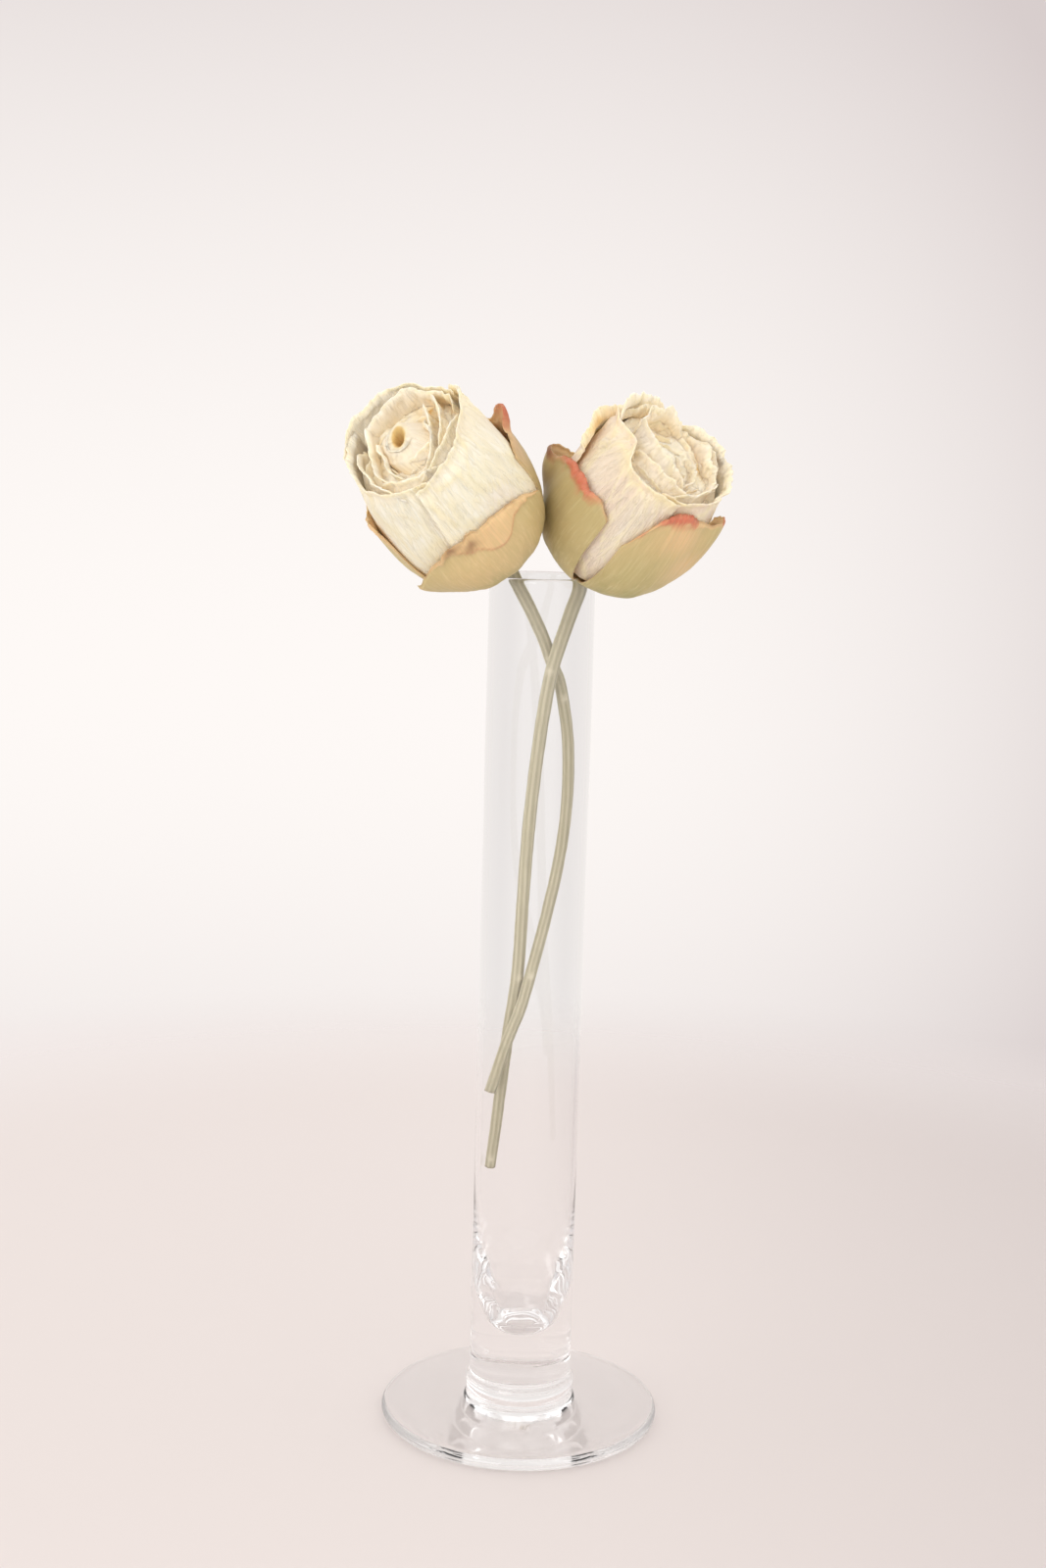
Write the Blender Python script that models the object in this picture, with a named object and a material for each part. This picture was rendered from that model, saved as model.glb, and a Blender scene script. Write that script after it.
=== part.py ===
"""Two dried roses standing in a footed glass bud vase.

The origin is the middle of the vase's flat underside, +Z is up and -Y is the front.
Lengths are written in millimetres and turned into metres by MM where a mesh is made.
A petal is a patch of an egg-shaped shell that stands on the top of its stem. Every petal of
one head is worked out in that head's own frame, with the stem's top at zero and the head's
axis along +Z, and is then turned and moved to its place over the rim of the vase.
"""
import math
from collections import namedtuple

import bmesh
import bpy
import numpy as np
from mathutils import Vector

MM = 0.001
TOUCH_GAP = 0.3

# Vase: a drawn tube on a solid glass base, fused to a round pressed foot.
VASE_HEIGHT = 250.0
TUBE_RADIUS = 15.0
WALL = 1.35
FOOT_RADIUS = 41.0
FOOT_EDGE = 3.4
FOOT_CROWN = 6.2
COLLAR_RADIUS = 15.9
COLLAR_TOP = 12.6
CAVITY_FLOOR = 26.0
CAVITY_SHOULDER = 34.0
VASE_SIDES = 44

# Stems: centre lines from the cut end up to the rim, as (x, y, z), and radii at both ends.
STEM_SIDES = 8
STEM_STEP = 6.0
HIP_RADIUS = 2.9
HIP_LENGTH = 3.0
LEFT_STEM_RADII = (1.5, 1.75)
RIGHT_STEM_RADII = (1.55, 1.9)
LEFT_STEM_LOW = (
    (-10.7, -4.2, 100.2), (-6.8, -3.6, 113.8), (-2.8, -2.8, 124.9), (0.0, -1.6, 135.3),
    (3.9, 0.4, 151.7), (7.4, 1.9, 169.8), (9.0, 2.4, 185.4), (8.7, 2.5, 202.6),
    (6.1, 1.9, 218.1), (3.8, 0.8, 224.3), (0.5, -2.2, 233.0), (-2.7, -5.2, 240.0),
    (-6.6, -6.7, 247.6), (-8.8, -8.9, 252.2),
)
RIGHT_STEM_LOW = (
    (-10.8, 4.5, 74.4), (-9.2, 3.5, 88.1), (-7.8, 2.4, 101.7), (-6.2, 1.2, 116.3),
    (-3.9, -0.2, 134.8), (-2.9, -1.5, 156.7), (-2.0, -2.3, 175.8), (-0.6, -2.9, 193.9),
    (1.5, -3.3, 212.5), (3.8, -3.6, 225.6), (7.9, -4.0, 239.4), (10.2, -4.3, 246.7),
)

# Petals: a guard petal's rim is given by its height at five even places across it, and its
# turned-out tip by where it is across the petal and how far it stands out.
Guard = namedtuple("Guard", "azimuth half_width root_spread rim depth tip_place tip_out")
Layer = namedtuple("Layer", "count belly lip_radius lip_height turn half_width root")
Head = namedtuple("Head", "name centre radius nod lean guard_upper stem_low stem_radii guards "
                          "outer seed")

SHELL = 0.65
GUARD_FOOT = 0.2
GUARD_ROOT = 0.35
GUARD_RUFFLE = 0.25
GUARD_GRID = (9, 9)
GUARD_HUB = ((0.0, 0.1), (3.6, 0.2), (5.0, 0.9), (3.6, 1.6), (0.0, 1.7))
HUB_SIDES = 12
CORE_OUTLINE = ((0.0, 2.2), (6.4, 2.6), (9.6, 4.8), (11.0, 8.5), (11.0, 20.0), (8.6, 25.5),
                (5.0, 30.5), (0.0, 34.0))
BLOOM_FOOT = 2.4
LAYER_RISE = 0.6
OUTER_WINDING = 0.4
WINDING = 0.7
OUTER_GRID = (6, 6)
MIDDLE_GRID = (4, 5)
HEART_GRID = (3, 4)
HEART_DEPTH = 4
RIM_FALL = (0.34, 0.08, 0.0, 0.0, 0.08, 0.34)
RIM_WAVE = 0.7
CREST_WAVE = 0.8
TURN_WAVE = 5.0
LIP_RUFFLE = 0.2
LIP_TIP = (0.0, 0.5)

LEFT_GUARDS = (
    Guard(-94.0, 66.0, 0.0, (16.0, 25.0, 31.0, 29.5, 20.0), 0.0, -1.0, 1.2),
    Guard(38.0, 60.0, 0.0, (32.0, 40.0, 39.0, 34.0, 24.0), 0.7, -0.5, 1.6),
    Guard(150.0, 62.0, 0.0, (24.0, 36.0, 39.0, 38.0, 20.0), 0.7, 0.5, 1.8),
)
RIGHT_GUARDS = (
    Guard(-161.0, 60.0, 7.0, (20.0, 26.5, 33.0, 35.5, 31.0), -0.8, -0.4, 5.0),
    Guard(-34.0, 48.0, 6.0, (30.0, 45.0, 44.0, 41.0, 37.0), 0.0, 0.8, 2.0),
    Guard(77.0, 64.0, 0.0, (20.0, 30.0, 33.0, 30.0, 20.0), 1.0, 0.0, 0.8),
)
# Inner layers as shares of the outer layer, with their lip heights measured from its lip.
INNER_LAYERS = (
    Layer(5, 0.87, 0.85, 0.6, 36.0, 47.0, 5.5),
    Layer(5, 0.75, 0.70, 0.4, 70.0, 47.0, 8.0),
    Layer(5, 0.63, 0.56, -0.2, 15.0, 47.0, 12.0),
    Layer(4, 0.50, 0.42, -1.0, 60.0, 58.0, 20.0),
    Layer(3, 0.37, 0.28, -2.0, 10.0, 76.0, 23.0),
    Layer(3, 0.24, 0.15, -4.0, 75.0, 74.0, 26.0),
)

HEADS = (
    Head("left", (-22.6, -30.0, 270.3), 23.2, 37.2, -39.4, 48.0, LEFT_STEM_LOW,
         LEFT_STEM_RADII, LEFT_GUARDS, (Layer(3, 20.6, 17.2, 51.6, -50.0, 68.0, 3.8),), 11),
    Head("right", (21.8, -18.8, 268.4), 22.3, 35.7, 34.3, 43.0, RIGHT_STEM_LOW,
         RIGHT_STEM_RADII, RIGHT_GUARDS, (Layer(3, 19.5, 16.0, 48.6, -90.0, 68.0, 3.8),
                                          Layer(1, 20.5, 19.7, 44.5, 190.0, 36.0, 3.8)), 23),
)


def clear_scene():
    """Removes every object that the file was opened with."""
    for item in list(bpy.data.objects):
        bpy.data.objects.remove(item, do_unlink=True)


def make_material(name, colour, roughness, transmission=0.0):
    """A Principled material in one colour."""
    material = bpy.data.materials.new(name)
    material.use_nodes = True
    shader = material.node_tree.nodes["Principled BSDF"]
    shader.inputs["Base Color"].default_value = (*colour, 1.0)
    shader.inputs["Roughness"].default_value = roughness
    shader.inputs["Metallic"].default_value = 0.0
    shader.inputs["Transmission Weight"].default_value = transmission
    return material


def make_object(name, points, faces, material):
    """One smooth-shaded object from points in millimetres and faces as point numbers."""
    mesh = bpy.data.meshes.new(name)
    mesh.from_pydata((np.asarray(points) * MM).tolist(), [], [list(face) for face in faces])
    mesh.materials.append(material)
    mesh.shade_smooth()
    mesh.set_sharp_from_angle(angle=math.radians(40.0))
    item = bpy.data.objects.new(name, mesh)
    bpy.context.scene.collection.objects.link(item)
    return item


def arc(centre, radius, start, end, count):
    """Points of an arc in the (radius, height) plane, from one angle to the other."""
    angles = np.radians(np.linspace(start, end, count))
    return [(centre[0] + radius * math.cos(a), centre[1] + radius * math.sin(a)) for a in angles]


def vase_outline():
    """The vase's half section from the middle of its underside round to its cavity floor."""
    edge_radius = FOOT_EDGE / 2
    lip_radius = WALL / 2
    inner = TUBE_RADIUS - WALL
    floor_radius = 6.4
    outline = [(0.0, 0.0)]
    outline += arc((FOOT_RADIUS - edge_radius, edge_radius), edge_radius, -90.0, 90.0, 6)
    outline += [(28.0, 4.4), (19.0, FOOT_CROWN - 0.5), (17.0, FOOT_CROWN + 0.4)]
    outline += [(COLLAR_RADIUS, 8.0), (COLLAR_RADIUS, COLLAR_TOP - 1.2)]
    outline += [(TUBE_RADIUS, COLLAR_TOP + 0.8), (TUBE_RADIUS, 90.0), (TUBE_RADIUS, 170.0)]
    outline += arc((TUBE_RADIUS - lip_radius, VASE_HEIGHT - lip_radius), lip_radius, 0.0, 180.0, 5)
    outline += [(inner, 170.0), (inner, 90.0), (inner - 0.1, 60.0), (inner - 0.6, 46.0)]
    outline += [(inner - 1.6, 39.0), (10.6, CAVITY_SHOULDER - 1.4), (8.8, 28.8)]
    outline += [(floor_radius, CAVITY_FLOOR + 0.5), (0.0, CAVITY_FLOOR)]
    return outline


def turned_mesh(outline, sides):
    """Turns a half section round the vertical axis; its first and last points are poles."""
    rings = np.array(outline[1:-1])
    angles = np.arange(sides) * 2 * math.pi / sides
    rows = np.stack([
        rings[:, None, 0] * np.cos(angles), rings[:, None, 0] * np.sin(angles),
        np.repeat(rings[:, 1:], sides, axis=1)], axis=-1)
    points = [(0.0, 0.0, outline[0][1])] + rows.reshape(-1, 3).tolist()
    points.append((0.0, 0.0, outline[-1][1]))
    faces = []
    last = len(points) - 1
    for side in range(sides):
        after = (side + 1) % sides
        faces.append((0, 1 + after, 1 + side))
        for ring in range(len(rings) - 1):
            low, high = 1 + ring * sides, 1 + (ring + 1) * sides
            faces.append((low + side, low + after, high + after, high + side))
        top = 1 + (len(rings) - 1) * sides
        faces.append((top + side, top + after, last))
    return points, faces


def smooth_path(knots, step):
    """Even points, a step apart, along a Catmull-Rom curve through the knots."""
    knots = np.asarray(knots, float)
    ends = np.vstack([2 * knots[0] - knots[1], knots, 2 * knots[-1] - knots[-2]])
    pieces = []
    for p0, p1, p2, p3 in zip(ends[:-3], ends[1:-2], ends[2:-1], ends[3:]):
        t = np.linspace(0.0, 1.0, 24, endpoint=False)[:, None]
        pieces.append(0.5 * (2 * p1 + (p2 - p0) * t + (2 * p0 - 5 * p1 + 4 * p2 - p3) * t ** 2
                             + (3 * p1 - p0 - 3 * p2 + p3) * t ** 3))
    fine = np.vstack(pieces + [knots[-1:]])
    lengths = np.concatenate([[0.0], np.cumsum(np.linalg.norm(np.diff(fine, axis=0), axis=1))])
    count = max(2, int(round(lengths[-1] / step)) + 1)
    wanted = np.linspace(0.0, lengths[-1], count)
    path = np.stack([np.interp(wanted, lengths, fine[:, axis]) for axis in range(3)], axis=-1)
    return path, wanted


def carry_ring(path, radii, sides):
    """Carries a ring along a path without twist and closes both ends with flat fans."""
    tangents = np.gradient(path, axis=0)
    tangents /= np.linalg.norm(tangents, axis=1)[:, None]
    side_way = Vector((1.0, 0.0, 0.0)).cross(Vector(tangents[0])).normalized()
    points = [tuple(path[0])]
    for place, tangent, radius in zip(path, tangents, radii):
        forward = Vector(tangent)
        side_way = (side_way - forward * side_way.dot(forward)).normalized()
        other = forward.cross(side_way)
        for number in range(sides):
            angle = 2 * math.pi * number / sides
            offset = side_way * math.cos(angle) + other * math.sin(angle)
            points.append(tuple(Vector(place) + offset * float(radius)))
    points.append(tuple(path[-1]))
    faces = []
    last = len(points) - 1
    for side in range(sides):
        after = (side + 1) % sides
        faces.append((0, 1 + after, 1 + side))
        for ring in range(len(path) - 1):
            low, high = 1 + ring * sides, 1 + (ring + 1) * sides
            faces.append((low + side, low + after, high + after, high + side))
        top = 1 + (len(path) - 1) * sides
        faces.append((top + side, top + after, last))
    return points, faces


def head_axes(head):
    """The head's turning matrix: it nods about X towards the front, then leans about Y."""
    nod, lean = math.radians(head.nod), math.radians(head.lean)
    about_x = np.array([[1, 0, 0], [0, math.cos(nod), -math.sin(nod)],
                        [0, math.sin(nod), math.cos(nod)]])
    about_y = np.array([[math.cos(lean), 0, math.sin(lean)], [0, 1, 0],
                        [-math.sin(lean), 0, math.cos(lean)]])
    return about_y @ about_x


def head_foot(head):
    """Where the head meets its stem, in the vase's frame."""
    axis = head_axes(head)[:, 2]
    return np.array(head.centre) - axis * head.radius


def place_in_world(points, head):
    """Moves points from the head's own frame to the vase's frame."""
    return np.asarray(points) @ head_axes(head).T + head_foot(head)


def across_values(values, across):
    """Runs smoothly through even values across a petal, from its left edge to its right."""
    spans = len(values) - 1
    steps = np.clip((across + 1) / 2 * spans, 0, spans - 1e-9)
    low = steps.astype(int)
    part = steps - low
    blend = part * part * (3 - 2 * part)
    values = np.asarray(values, float)
    return values[low] * (1 - blend) + values[low + 1] * blend


def shell_angle(height, foot, belly_height, upper):
    """The angle at which an egg-shaped shell reaches a height; a right angle is its belly."""
    height = np.asarray(height, float)
    below = (belly_height - height) / np.where(height < belly_height, belly_height - foot, upper)
    return np.arccos(np.clip(below, -1.0, 1.0))


def petal_patch(azimuth, widths, shell, root, rim, swirl, ruffle, phase, tip, grid_size):
    """A grid of points on an egg-shaped shell.

    The shell's radius is belly x sin(a). Its height is its belly's height minus cos(a) times a
    half height, which differs above and below the belly. The angle a runs from the petal's root
    to its rim. The petal is wound by swirl across its width, its rim waves by ruffle, and the
    rim's tip turns outwards. Its half width in degrees is wider at the root by its root spread.
    """
    belly, foot, belly_height, upper = shell
    half_width, root_spread = widths
    tip_place, tip_out = tip
    along, across = grid_size
    t = np.linspace(0.0, 1.0, along + 1)[:, None]
    w = np.linspace(-1.0, 1.0, across + 1)[None, :]
    first = shell_angle(root, foot, belly_height, upper)
    last = shell_angle(across_values(rim, w), foot, belly_height, upper)
    angle = first + (last - first) * t
    edge = np.clip((t - 0.6) / 0.4, 0.0, 1.0) ** 2
    near_tip = np.exp(-((w - tip_place) / 0.3) ** 2)
    out = swirl * w + edge * (ruffle * np.sin(7.0 * w + phase) + tip_out * near_tip)
    half_height = np.where(angle < math.pi / 2, belly_height - foot, upper)
    radius = (belly + out) * np.sin(angle)
    height = belly_height - (half_height + out) * np.cos(angle)
    turn = np.radians(azimuth + (half_width + root_spread * (1 - t) ** 2) * w)
    return np.stack([radius * np.cos(turn), radius * np.sin(turn), height], axis=-1)


def grid_normals(grid):
    """Unit normals of a grid of points, pointing away from the head's axis."""
    up = np.gradient(grid, axis=0)
    side = np.gradient(grid, axis=1)
    normals = np.cross(side, up)
    return normals / np.linalg.norm(normals, axis=-1)[..., None]


def thick_patch(grid, thickness):
    """A closed blade: the grid is its outer face, and its inner face lies a thickness inside."""
    rows, columns = grid.shape[:2]
    inner = grid - grid_normals(grid) * thickness
    points = np.vstack([grid.reshape(-1, 3), inner.reshape(-1, 3)])
    count = rows * columns
    faces = []
    for row in range(rows - 1):
        for column in range(columns - 1):
            a = row * columns + column
            b, c, d = a + 1, a + columns + 1, a + columns
            faces += [(a, b, c), (a, c, d)]
            faces += [(count + a, count + c, count + b), (count + a, count + d, count + c)]
    border = list(range(columns))
    border += [row * columns + columns - 1 for row in range(1, rows)]
    border += [(rows - 1) * columns + column for column in range(columns - 2, -1, -1)]
    border += [row * columns for row in range(rows - 2, 0, -1)]
    for here, after in zip(border, border[1:] + border[:1]):
        faces += [(here, count + here, count + after), (here, count + after, after)]
    return points, faces


def join_pieces(name, pieces, material):
    """Joins closed blades into one body by a Boolean union on a collection, and applies it."""
    items = [make_object(f"{name}_piece{number}", points, faces, material)
             for number, (points, faces) in enumerate(pieces)]
    base, others = items[0], items[1:]
    group = bpy.data.collections.new(f"{name}_pieces")
    bpy.context.scene.collection.children.link(group)
    for item in others:
        group.objects.link(item)
        bpy.context.scene.collection.objects.unlink(item)
    union = base.modifiers.new("union", "BOOLEAN")
    union.operation = "UNION"
    union.operand_type = "COLLECTION"
    union.collection = group
    union.solver = "MANIFOLD"
    bpy.context.view_layer.update()
    evaluated = base.evaluated_get(bpy.context.evaluated_depsgraph_get())
    joined = bpy.data.meshes.new_from_object(evaluated)
    joined.name = name
    for item in items:
        bpy.data.objects.remove(item, do_unlink=True)
    bpy.data.collections.remove(group)
    keep_largest_body(joined)
    joined.shade_smooth()
    joined.set_sharp_from_angle(angle=math.radians(40.0))
    result = bpy.data.objects.new(name, joined)
    bpy.context.scene.collection.objects.link(result)
    return result


def keep_largest_body(mesh):
    """Drops loose scraps and the skins of sealed hollows: only the largest shell stays."""
    work = bmesh.new()
    work.from_mesh(mesh)
    unseen = set(work.verts)
    shells = []
    while unseen:
        seed = unseen.pop()
        shell, front = [seed], [seed]
        while front:
            vertex = front.pop()
            for edge in vertex.link_edges:
                other = edge.other_vert(vertex)
                if other in unseen:
                    unseen.remove(other)
                    shell.append(other)
                    front.append(other)
        shells.append(shell)
    shells.sort(key=len)
    scraps = [vertex for shell in shells[:-1] for vertex in shell]
    bmesh.ops.delete(work, geom=scraps, context="VERTS")
    bmesh.ops.triangulate(work, faces=work.faces[:])
    work.to_mesh(mesh)
    work.free()


def build_guards(head, material):
    """The broad outer petals, fused where they meet at the head's foot."""
    pieces = [turned_mesh(GUARD_HUB, HUB_SIDES)]
    for guard in head.guards:
        shell = (head.radius - guard.depth, GUARD_FOOT, head.radius, head.guard_upper)
        widths = (guard.half_width, guard.root_spread)
        grid = petal_patch(guard.azimuth, widths, shell, GUARD_ROOT, guard.rim, 0.0, GUARD_RUFFLE,
                           guard.azimuth, (guard.tip_place, guard.tip_out), GUARD_GRID)
        pieces.append(thick_patch(grid, SHELL))
    placed = [(place_in_world(points, head), faces) for points, faces in pieces]
    return join_pieces(f"{head.name}_guard_petals", placed, material)


def bloom_layers(head):
    """The head's cream layers in real sizes, from the outer ones inwards, with their depths."""
    outer = head.outer[0]
    inner = [layer._replace(belly=layer.belly * outer.belly,
                            lip_radius=layer.lip_radius * outer.belly,
                            lip_height=outer.lip_height + layer.lip_height)
             for layer in INNER_LAYERS]
    return [(0, layer) for layer in head.outer] + list(enumerate(inner, start=1))


def build_bloom(head, material):
    """The cream petals, layer by layer round a small core."""
    draw = np.random.default_rng(head.seed)
    pieces = [turned_mesh(CORE_OUTLINE, HUB_SIDES)]
    for depth, layer in bloom_layers(head):
        lip_angle = math.pi - math.asin(layer.lip_radius / layer.belly)
        upper = (layer.lip_height - head.radius) / -math.cos(lip_angle)
        shell = (layer.belly, BLOOM_FOOT + LAYER_RISE * depth, head.radius, upper)
        grid_size = OUTER_GRID if depth == 0 else MIDDLE_GRID if depth < HEART_DEPTH else HEART_GRID
        winding = OUTER_WINDING if depth == 0 else WINDING
        for number in range(layer.count):
            azimuth = layer.turn + 360.0 * number / layer.count
            azimuth += draw.uniform(-TURN_WAVE, TURN_WAVE)
            crest = layer.lip_height + draw.uniform(-CREST_WAVE, CREST_WAVE)
            fall = np.array(RIM_FALL) * (layer.lip_height - head.radius)
            rim = crest - fall + draw.uniform(-RIM_WAVE, RIM_WAVE, len(RIM_FALL))
            grid = petal_patch(azimuth, (layer.half_width, 0.0), shell, layer.root, rim, winding,
                               LIP_RUFFLE, draw.uniform(0.0, 6.0), LIP_TIP, grid_size)
            pieces.append(thick_patch(grid, SHELL))
    placed = [(place_in_world(points, head), faces) for points, faces in pieces]
    return join_pieces(f"{head.name}_bloom", placed, material)


def build_stem(head, material):
    """The stem, which widens into the hip just under the petals and ends in a flat top."""
    axis = head_axes(head)[:, 2]
    top = head_foot(head) - axis * TOUCH_GAP
    neck = top - axis * HIP_LENGTH
    path, lengths = smooth_path([*head.stem_low, tuple(neck)], STEM_STEP)
    low, high = head.stem_radii
    radii = np.append(low + (high - low) * lengths / lengths[-1], HIP_RADIUS)
    points, faces = carry_ring(np.vstack([path, top]), radii, STEM_SIDES)
    return make_object(f"{head.name}_stem", points, faces, material)


def build():
    """Builds the vase and then each rose from its stem to its bloom."""
    clear_scene()
    glass = make_material("clear_glass", (0.96, 0.97, 0.97), 0.03, 1.0)
    green = make_material("dried_stem", (0.36, 0.34, 0.22), 0.75)
    olive = make_material("guard_petal", (0.66, 0.56, 0.28), 0.65)
    cream = make_material("cream_petal", (0.93, 0.85, 0.70), 0.7)
    points, faces = turned_mesh(vase_outline(), VASE_SIDES)
    make_object("vase", points, faces, glass)
    for head in HEADS:
        build_stem(head, green)
        build_guards(head, olive)
        build_bloom(head, cream)


build()
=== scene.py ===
"""Dried roses in a footed glass bud vase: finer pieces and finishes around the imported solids.

Shapes are worked out in millimetres and become metres in new_piece. A petal is a patch of an
egg-shaped shell that stands on the top of its stem, in its head's own frame, as in the solids.
"""
import math
from collections import namedtuple

import bpy
import numpy as np
from mathutils import Matrix, Vector


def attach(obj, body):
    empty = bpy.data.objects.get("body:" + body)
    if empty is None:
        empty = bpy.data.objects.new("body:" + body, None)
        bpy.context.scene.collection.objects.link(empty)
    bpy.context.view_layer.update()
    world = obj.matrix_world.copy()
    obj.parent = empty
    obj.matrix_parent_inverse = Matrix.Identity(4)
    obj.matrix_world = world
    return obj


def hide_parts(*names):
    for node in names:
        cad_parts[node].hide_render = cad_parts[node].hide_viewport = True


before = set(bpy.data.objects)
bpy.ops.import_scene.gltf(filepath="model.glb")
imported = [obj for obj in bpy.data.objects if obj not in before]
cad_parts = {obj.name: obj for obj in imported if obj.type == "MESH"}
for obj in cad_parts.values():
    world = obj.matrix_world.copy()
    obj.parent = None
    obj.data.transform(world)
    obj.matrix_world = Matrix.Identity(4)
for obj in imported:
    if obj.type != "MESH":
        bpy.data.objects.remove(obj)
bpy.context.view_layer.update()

bl_info = {
    "name": "Dried Roses in a Bud Vase",
    "version": (1, 0, 0),
    "blender": (4, 5, 0),
    "location": "3D View > Sidebar > Roses",
    "description": "Builds two dried roses in a footed glass vase around their solids",
    "category": "Add Mesh",
}

MM = 0.001
BODY = "root"
FULL_TURN = 2 * math.pi
LATTICE = 64

# Camera: where it stands and how it is turned, as measured from the photograph.
LENS = 52.16
SENSOR = 36.0
CAMERA_PLACE = (0.0, -639.85, 300.93)
CAMERA_PITCH = 9.812
CAMERA_YAW = -0.346
CAMERA_ROLL = 1.605

# Stage, in metres and directions: the background's tones change between these heights.
FLOOR_RADIUS = 0.75
FLOOR_GRID = (24, 96)
HORIZON = -0.127
FLOOR_LINE = (-0.268, -0.285)
ROOM = (1.25, 1.22, 1.21)
ROOM_SIDES = (0.80, 0.77, 0.78)
MATT_FROM_BELOW = (0.97, 0.955, 0.93)
MATT_FROM_ABOVE = (1.0, 0.985, 0.96)

# Vase: a half section as radius and height, from the foot's top over the collar, and its cavity.
VASE_HEIGHT = 250.0
TUBE_RADIUS = 15.0
WALL = 1.35
FOOT_RADIUS = 41.0
FOOT_EDGE = 3.4
FOOT_TOP = ((38.7, 3.4), (37.6, 3.3), (33.0, 3.7), (26.0, 4.2), (20.0, 4.75), (17.6, 5.1),
            (16.4, 5.4))
COLLAR = ((15.9, 5.9), (15.8, 7.0), (15.85, 8.0), (16.0, 8.9), (16.08, 10.2), (15.95, 11.5),
          (15.6, 12.4), (15.15, 13.1), (15.0, 13.8))
FUSED_RINGS = (14.4, 21.0)
FUSED_RINGS_HEIGHT = 0.025
WALL_FOOT = 22.0
CAVITY_TOP = 92.0
CAVITY = ((13.65, 88.0), (13.6, 70.0), (13.3, 60.0), (12.6, 53.0), (11.6, 48.0), (10.5, 43.0),
          (9.4, 38.0), (8.1, 33.0), (6.6, 29.4), (4.4, 27.2), (2.0, 26.3), (0.8, 26.05))
CAVITY_FLOOR = 26.0
VASE_SIDES = 128
CAVITY_WAVES = 0.16
FOOT_WAVES = 0.12
GLASS_INDEX = 1.47
GLASS_SHADOW = (0.995, 0.992, 0.992)

# Stems: centre lines from the cut end up to the rim. Scars: length along the stem and azimuth.
HIP_RADIUS = 2.8
HIP_LENGTH = 3.0
TOUCH_GAP = 0.3
STEM_SIDES = 40
STEM_RINGS = 190
STEM_RIDGES = 7
STEM_SHARE = 0.98
SCAR_HEIGHT = 0.28
STEM_SCARS = {
    "left": ((36, -80), (118, -70), (131, -95)),
    "right": ((3, -90), (60, -60), (150, -110)),
}
LEFT_STEM_LOW = (
    (-10.7, -4.2, 100.2), (-6.8, -3.6, 113.8), (-2.8, -2.8, 124.9), (0, -1.6, 135.3),
    (3.9, 0.4, 151.7), (7.4, 1.9, 169.8), (9, 2.4, 185.4), (8.7, 2.5, 202.6), (6.1, 1.9, 218.1),
    (3.8, 0.8, 224.3), (0.5, -2.2, 233), (-2.7, -5.2, 240), (-6.6, -6.7, 247.6),
    (-8.8, -8.9, 252.2),
)
RIGHT_STEM_LOW = (
    (-10.8, 4.5, 74.4), (-9.2, 3.5, 88.1), (-7.8, 2.4, 101.7), (-6.2, 1.2, 116.3),
    (-3.9, -0.2, 134.8), (-2.9, -1.5, 156.7), (-2, -2.3, 175.8), (-0.6, -2.9, 193.9),
    (1.5, -3.3, 212.5), (3.8, -3.6, 225.6), (7.9, -4, 239.4), (10.2, -4.3, 246.7),
)

# A petal's belly, rim height and rim radius are given at even places across it.
Petal = namedtuple("Petal", "azimuth half_width root_spread bellies root heights radii ruffle "
                            "curl depth")
Guard = namedtuple("Guard", "azimuth half_width root_spread rim depth tip_place tip_out fold")
Layer = namedtuple("Layer", "count belly lip_radius lip_height turn half_width root")
Spot = namedtuple("Spot", "azimuth height width rise strength")
Head = namedtuple("Head", "name centre radius nod lean guard_upper stem_low stem_radii guards "
                          "petals mouth blush seed")
Wave = namedtuple("Wave", "height across up")

# Guard petals: roots, rows and columns, thickness, thinning at the rim, and waves on them.
GUARD_FOOT = 0.2
GUARD_ROOT = 0.35
GUARD_GRID = (72, 84)
GUARD_THICKNESS = 0.62
GUARD_THINNING = 0.36
TIP_WIDTH = 0.24
GUARD_SWELL = Wave(0.3, 14.0, 9.0)
GUARD_GRAIN = Wave(0.1, 2.2, 14.0)
GUARD_CRUMPLE = Wave(0.8, 4.0, 3.0)
GUARD_RIDGES = Wave(0.4, 5.0, 1.8)
# A narrow lobe above a guard petal's rim: place across it, width, height and outward bend.
LOBES = {("left", 1): (-0.46, 0.11, 2.0, 3.0)}
NO_LOBE = (0.0, 1.0, 0.0, 0.0)

# Cream petals, by depth from the outside: rows and columns, and how far a rim falls at its ends.
PETAL_GRIDS = ((72, 104), (50, 70), (42, 60))
SMALL_PETAL_GRID = (26, 38)
CORNER_DROPS = (0.0, 1.2, 3.2)
BLOOM_FOOT = 1.5
LAYER_RISE = 0.6
FULLER_FOOT = 0.45
RUFFLE = Wave(1.1, 20.0, 6.0)
FRILL = Wave(0.5, 8.0, 6.0)
BEND = Wave(0.8, 9.0, 12.0)
WARP = Wave(1.6, 11.0, 13.0)
LONG_CREASE = Wave(1.0, 3.6, 13.0)
SHORT_CREASE = Wave(1.0, 2.3, 8.0)
CRUMPLE = Wave(0.9, 4.4, 2.4)
CRUMPLE_RIDGES = Wave(0.5, 5.0, 1.7)
BLUSH_DRIFT = Wave(0.35, 30.0, 14.0)

# The core's section as radius and height, and the bed: how far it lies under the mouth, its
# radius, how much smaller it is under the petal that leans in, and that azimuth.
CORE_SECTION = ((6.4, 2.6), (9.6, 4.8), (11.0, 8.5), (11.0, 20.0), (8.6, 25.5), (5.0, 30.5),
                (0.6, 34.0))
BED_DEPTH = 3.9
BED_GRID = (46, 109)
BED_REACH = {"left": (16.2, 0.0, 0.0), "right": (16.6, 2.4, 212.0)}
LEANING_WIDTH = 34.0
# Where the golden hollow of painted shade lies on the bed, and how far it spreads.
GOLDEN_SHADE_PLACE = (9.5, 9.5)
GOLDEN_SHADE_SPREAD = 30.0

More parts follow.
